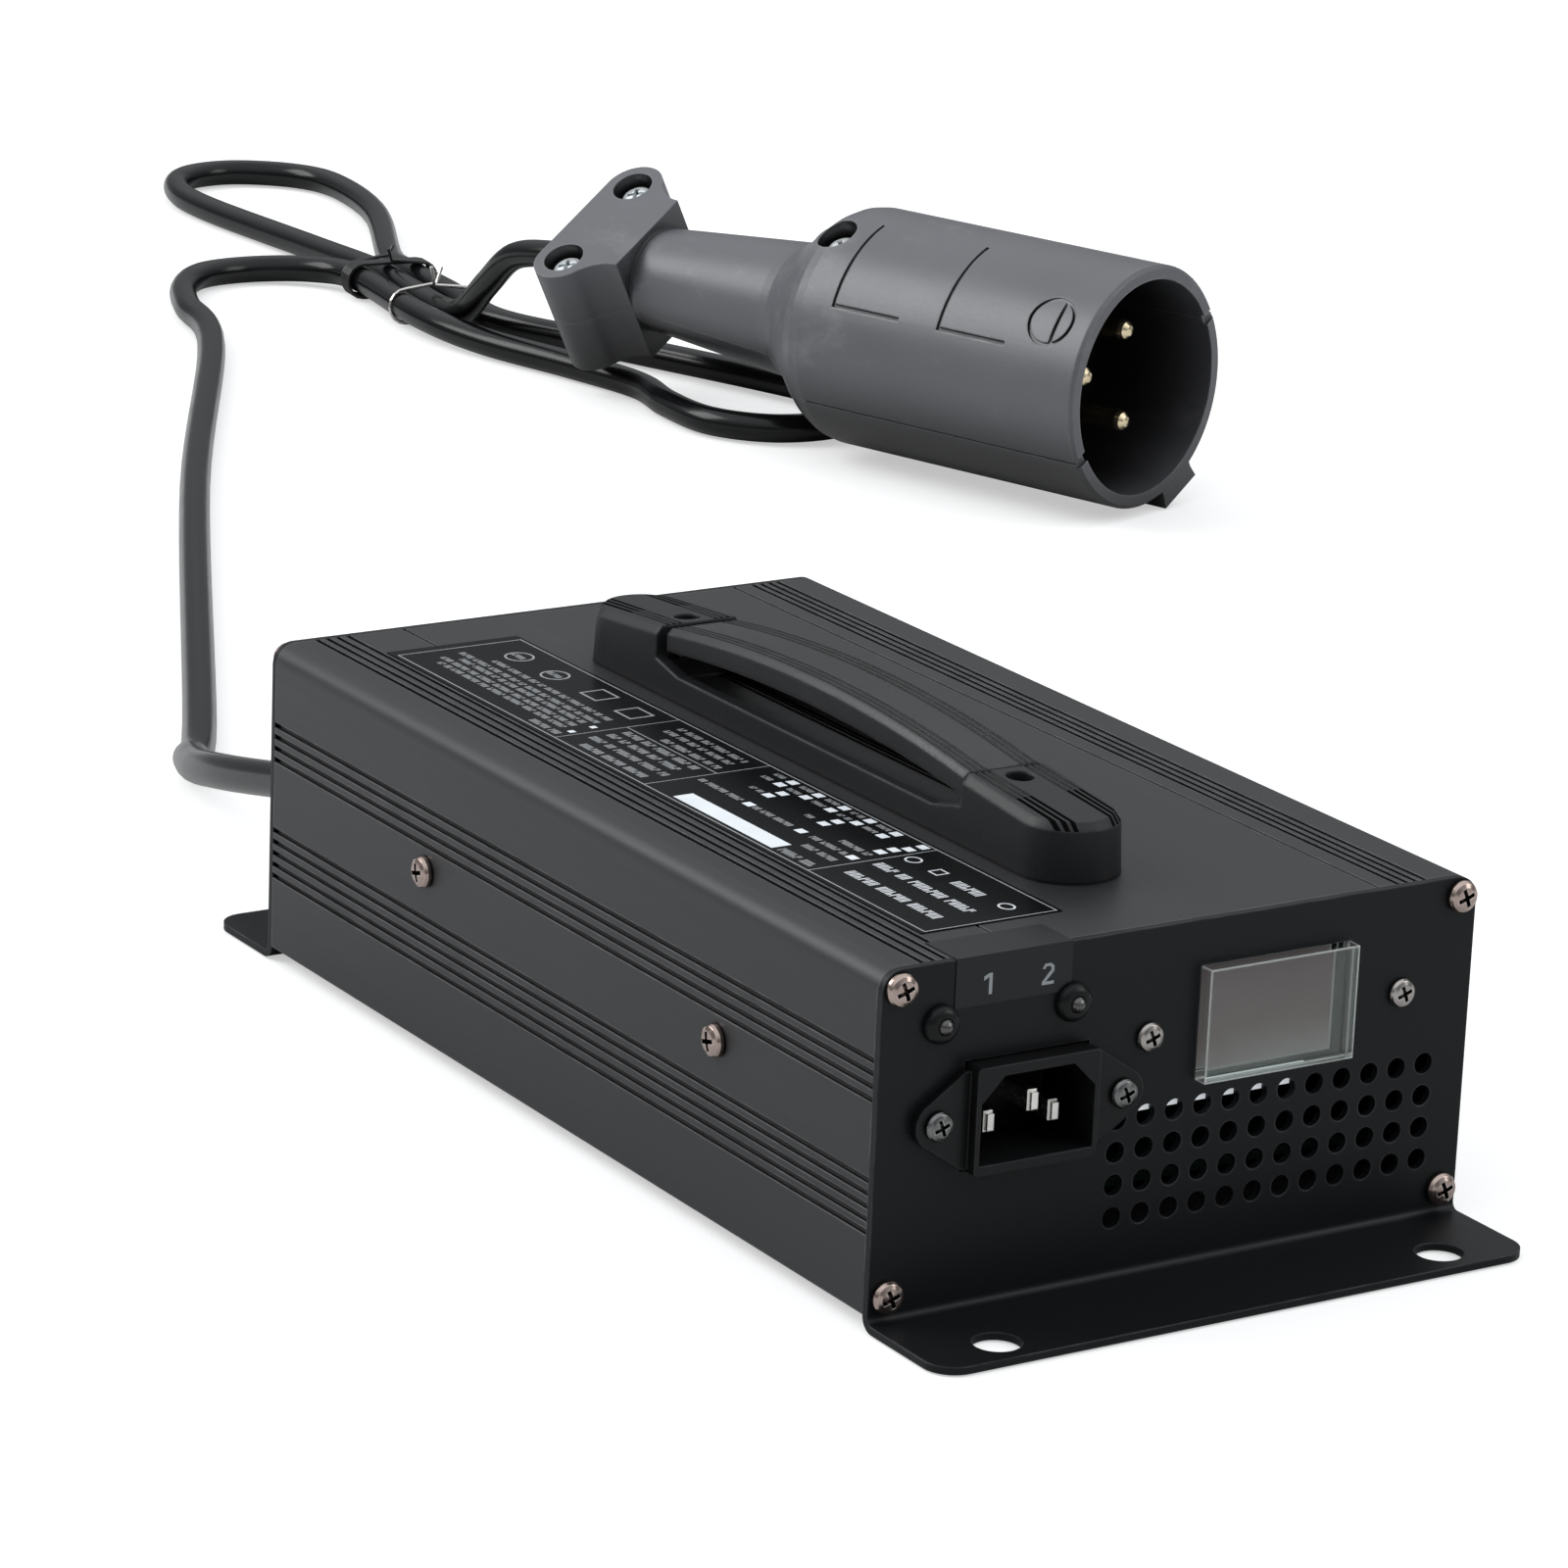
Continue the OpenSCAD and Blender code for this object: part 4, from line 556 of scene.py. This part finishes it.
def tube(name, path, radius, sides, material):
    """Tube along a path in millimetres, whose rings start level."""
    bm = bmesh.new()
    rings = []
    last = len(path) - 1
    for i, centre in enumerate(path):
        along = (path[min(last, i + 1)] - path[max(0, i - 1)]).normalized()
        points = ring_of_points(centre, along, radius, sides)
        rings.append([bm.verts.new(p * MM) for p in points])
    for a, b in zip(rings, rings[1:]):
        for k in range(sides):
            j = (k + 1) % sides
            bm.faces.new((a[k], a[j], b[j], b[k]))
    bm.faces.new(rings[0])
    bm.faces.new(rings[-1][::-1])
    mesh = mesh_from(name, bm, material)
    for f in mesh.polygons:
        f.use_smooth = len(f.vertices) == 4
    return add_object(name, mesh)


cord_line = smooth(ROUTE, CORD_STEPS)
cord = tube("cord_jacket", cord_line, CORD_DIAMETER / 2, CORD_SIDES, "cord_black")
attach(cord, BASE)
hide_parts("output_cord")


# Flat shapes, drawn in a plane in millimetres and given a thickness
def upward(x, y, height):
    """Lies flat and thickens upward."""
    return x, y, height


def facing(y):
    """Stands in the plane at y and thickens toward the inlet side."""
    return lambda x, z, out: (x, y - out, z)


def flat_piece(name, polygons, low, high, material, to_world=upward):
    bm = bmesh.new()
    for poly in polygons:
        bottom = [bm.verts.new(Vector(to_world(x, y, low)) * MM) for x, y in poly]
        top = [bm.verts.new(Vector(to_world(x, y, high)) * MM) for x, y in poly]
        bm.faces.new(top)
        bm.faces.new(bottom[::-1])
        for k in range(len(poly)):
            j = (k + 1) % len(poly)
            bm.faces.new((bottom[k], bottom[j], top[j], top[k]))
    o = add_object(name, mesh_from(name, bm, material))
    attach(o, BASE)


def bar(x0, y0, x1, y1):
    return [(x0, y0), (x1, y0), (x1, y1), (x0, y1)]


def square(x, y, half_x, half_y):
    return bar(x - half_x, y - half_y, x + half_x, y + half_y)


def outline(x0, y0, x1, y1, w):
    return [bar(x0, y0, x0 + w, y1), bar(x1 - w, y0, x1, y1),
            bar(x0 + w, y0, x1 - w, y0 + w), bar(x0 + w, y1 - w, x1 - w, y1)]


def ring(cx, cy, rx, ry, w, steps=28):
    out = []
    for k in range(steps):
        a, b = (2 * math.pi * v / steps for v in (k, k + 1))
        out.append([(cx + rx * math.cos(a), cy + ry * math.sin(a)),
                    (cx + rx * math.cos(b), cy + ry * math.sin(b)),
                    (cx + (rx - w) * math.cos(b), cy + (ry - w) * math.sin(b)),
                    (cx + (rx - w) * math.cos(a), cy + (ry - w) * math.sin(a))])
    return out


def words(x, high, low, size, seed):
    """Pairs of short bars that stand for a line of small print, down from high to low along y."""
    out = []
    y = high
    k = seed
    while y > low + size:
        k = (k * 17 + 5) % 23
        for i in range(2 + k % 6):
            if y - size * LETTER_ROOM < low:
                break
            turn = (k + 3 * i) % 4
            left = x if turn == 1 else x - size / 2
            right = x if turn == 2 else x + size / 2
            out.append(bar(x - size / 2, y - size * FULL_BAR, x + size / 2, y))
            out.append(bar(left, y - size * CUT_BAR_LOW, right, y - size * CUT_BAR_HIGH))
            y -= size * LETTER_PITCH
        y -= size * WORD_GAP
    return out


# The label on the case, whose places are read from the photograph in millimetres

# Each line of small print: x, its high and low end in y, letter size, seed
SMALL_PRINT = [
    (-31.4, 84.3, 37.6, 1.5, 3), (-34.5, 92.4, 37.0, 1.5, 8), (-36.9, 88.1, 37.9, 1.5, 5),
    (-39.6, 91.0, 36.9, 1.5, 12), (-42.0, 88.0, 36.4, 1.5, 17), (-45.2, 44.8, 34.0, 1.7, 2),
    (-44.6, 26.0, 2.0, 1.9, 4), (-40.4, 29.5, 0.8, 1.9, 9), (-36.4, 29.5, 0.8, 1.9, 13),
    (-32.8, 29.5, 0.8, 1.9, 6), (-28.6, 22.0, 0.8, 1.7, 15), (-25.0, 27.0, 2.0, 1.6, 10),
    (-21.8, 27.0, 1.5, 1.6, 19), (-44.9, -47.6, -58.8, 2.0, 7), (-39.6, -47.2, -59.2, 1.7, 11),
    (-35.6, -43.5, -55.8, 1.5, 16), (-35.6, -23.2, -37.2, 1.5, 18), (-35.6, -3.5, -18.6, 1.5, 20),
    (-31.9, -48.0, -59.0, 1.6, 21)]
BOLD_PRINT = [(-40.7, -64.4, -95.6, 2.4, 4), (-33.3, -62.6, -95.8, 2.4, 9),
              (-26.4, -78.0, -89.4, 2.4, 2)]
# Tick squares, those with a word beside them first
NAMED_TICKS = [(-20.6, -12.9), (-23.5, -12.9), (-29.2, -17.9), (-23.4, -22.0), (-20.5, -22.0),
               (-23.4, -30.9), (-20.4, -31.0), (-29.2, -37.6), (-23.4, -40.0), (-20.4, -40.0),
               (-20.3, -48.9), (-23.3, -48.8)]
BARE_TICKS = [(-26.2, -18.1), (-26.2, -37.7), (-35.6, -21.2), (-35.6, -39.7), (-35.6, -57.5),
              (-20.2, -57.9), (-23.3, -57.9), (-26.0, -56.9), (-29.0, -56.9)]
BULLETS = [(-42.2, 34.4), (-36.8, 35.2)]
WHITE_BAR = (-46.2, -46.2, -41.8, -10.8)


def label_piece(name, polygons, material, thickness=PRINT_THICKNESS):
    flat_piece(name, polygons, FILM_TOP, FILM_TOP + thickness, material)


def label_lines():
    """The frame of the label and the lines between its fields."""
    lines = outline(-47.4, -99.9, -18.5, 96.0, 0.28)
    lines += [bar(-47.1, 32.3, -18.8, 32.52), bar(-47.1, -1.75, -18.8, -1.53),
              bar(-47.1, -60.6, -18.8, -60.35), bar(-30.85, -1.5, -30.63, 32.3)]
    label_piece("label_lines", lines, "label_print")


def label_small_bars():
    """Small print, the words of the ticks, two rings with print in them and two frames."""
    bars = [b for line in SMALL_PRINT for b in words(*line)]
    bars += [b for x, y in NAMED_TICKS for b in words(x, y + 6.2, y + 1.9, 1.3, int(-y))]
    for x, y, low, seed in ((-25.2, 84.8, 82.2, 3), (-25.3, 70.1, 67.4, 8)):
        bars += ring(x, y, 3.1, 3.3, 0.45) + words(x, y + 2.6, low, 1.5, seed)
    for x, y in ((-27.2, 50.8), (-27.4, 36.9)):
        bars += outline(x, y, x + 5.8, y + 6.6, 0.45)
    label_piece("label_small_bars", bars, "label_print")


def label_bold_bars():
    """Bold print with two rings and a frame."""
    bars = [b for line in BOLD_PRINT for b in words(*line)]
    bars += ring(-26.0, -63.6, 1.7, 1.9, 0.4) + ring(-25.7, -94.0, 1.6, 1.9, 0.4)
    bars += outline(-27.4, -73.4, -24.4, -70.4, 0.35)
    label_piece("label_bold_bars", bars, "label_bold")


def label_white_marks():
    ticks = [square(x, y, 0.95, 1.25) for x, y in NAMED_TICKS + BARE_TICKS]
    bullets = [square(x, y, 0.7, 0.7) for x, y in BULLETS]
    label_piece("label_squares", ticks + bullets, "label_white")
    label_piece("label_white_bar", [bar(*WHITE_BAR)], "label_white", WHITE_BAR_THICKNESS)


def light_bar():
    comb = [(BAR_LEFT, BAR_HIGH)]
    for k in range(TEETH):
        left = TOOTH_FIRST + TOOTH_PITCH * k
        right = left + TOOTH_WIDTH
        comb += [(left, BAR_LOW), (left, TOOTH_LOW), (right, TOOTH_LOW), (right, BAR_LOW)]
    comb += [(BAR_RIGHT, BAR_LOW), (BAR_RIGHT, BAR_HIGH)]
    flat_piece("display_light_bar", [comb], BAR_FRONT - BAR_THICKNESS, BAR_FRONT, "light_guide",
               facing(0))


def shifted(polygons, dx, dz):
    return [[(x + dx, z + dz) for x, z in poly] for poly in polygons]


def lamp_numbers():
    """A plain 1 and 2 over the two lamps, on the strip of the inlet panel."""
    one = [bar(1.1, 0, 1.8, 4), [(0, 2.7), (1.1, 3.3), (1.1, 4), (0, 3.5)]]
    two = [bar(0, 0, 2.6, 0.6), [(0, 0.6), (0.8, 0.6), (2.6, 2.4), (1.9, 2.7)],
           [(1.9, 2.6), (2.6, 2.4), (2.6, 3.4), (1.95, 3.2)],
           [(1.95, 3.2), (2.6, 3.4), (1.9, 4), (1.7, 3.45)],
           [(0.8, 3.45), (1.7, 3.45), (1.9, 4), (0.6, 4)],
           [(0, 3.1), (0.65, 3), (0.8, 3.45), (0.6, 4)]]
    digits = shifted(one, FIRST_DIGIT_X, DIGIT_Z) + shifted(two, SECOND_DIGIT_X, DIGIT_Z)
    flat_piece("lamp_numbers", digits, 0, PRINT_THICKNESS, "number_grey",
               facing(LAMP_STRIP_Y))


label_lines()
label_small_bars()
label_bold_bars()
label_white_marks()
light_bar()
lamp_numbers()


def white_floor():
    """White to the camera and through the clear block, and pale grey to all other rays."""
    h = FLOOR_HALF
    mesh = bpy.data.meshes.new("floor")
    mesh.from_pydata([(-h, -h, 0), (h, -h, 0), (h, h, 0), (-h, h, 0)], [], [(0, 1, 2, 3)])
    floor = add_object("floor", mesh)
    floor.location.z = FLOOR_Z
    tree, bsdf = new_material("floor_white")
    bsdf.inputs["Base Color"].default_value = (0.6, 0.6, 0.6, 1)
    bsdf.inputs["Roughness"].default_value = 0.8
    bsdf.inputs["Specular IOR Level"].default_value = 0.0
    rays = node(tree, "ShaderNodeLightPath").outputs
    seen = maths(tree, "MAXIMUM", rays["Is Camera Ray"], rays["Is Transmission Ray"])
    put(tree, bsdf.inputs["Emission Strength"], maths(tree, "MULTIPLY", seen, 0.5))
    bsdf.inputs["Emission Color"].default_value = (1, 1, 1, 1)
    mesh.materials.append(finish["floor_white"])


def studio_world():
    """Soft light that grows toward the zenith, and plain white to the camera."""
    world = bpy.data.worlds.new("studio")
    world.use_nodes = True
    bpy.context.scene.world = world
    tree = world.node_tree
    light = tree.nodes["Background"]
    light.inputs["Color"].default_value = (0.95, 0.98, 1, 1)
    height = split(tree, node(tree, "ShaderNodeTexCoord").outputs["Generated"])["Z"]
    put(tree, light.inputs["Strength"], remap(tree, height, 0.25, 0.8, 0.25, 1.25))
    white = node(tree, "ShaderNodeBackground")
    white.inputs["Color"].default_value = (1, 1, 1, 1)
    white.inputs["Strength"].default_value = 1.0
    either = node(tree, "ShaderNodeMixShader")
    camera_ray = node(tree, "ShaderNodeLightPath").outputs["Is Camera Ray"]
    sources = (camera_ray, light.outputs[0], white.outputs[0])
    for socket, source in zip(either.inputs, sources):
        tree.links.new(source, socket)
    tree.links.new(either.outputs[0], tree.nodes["World Output"].inputs["Surface"])


def softbox(name, place, aim, power, size):
    data = bpy.data.lights.new(name, "AREA")
    data.energy = power
    data.size = size
    o = add_object(name, data)
    o.location = place
    o.rotation_euler = (Vector(aim) - Vector(place)).to_track_quat("-Z", "Y").to_euler()


white_floor()
studio_world()
softbox("key_softbox", KEY_PLACE, KEY_AIM, KEY_POWER, KEY_SIZE)
softbox("fill_softbox", FILL_PLACE, FILL_AIM, FILL_POWER, FILL_SIZE)
bpy.context.scene.view_settings.view_transform = "Standard"
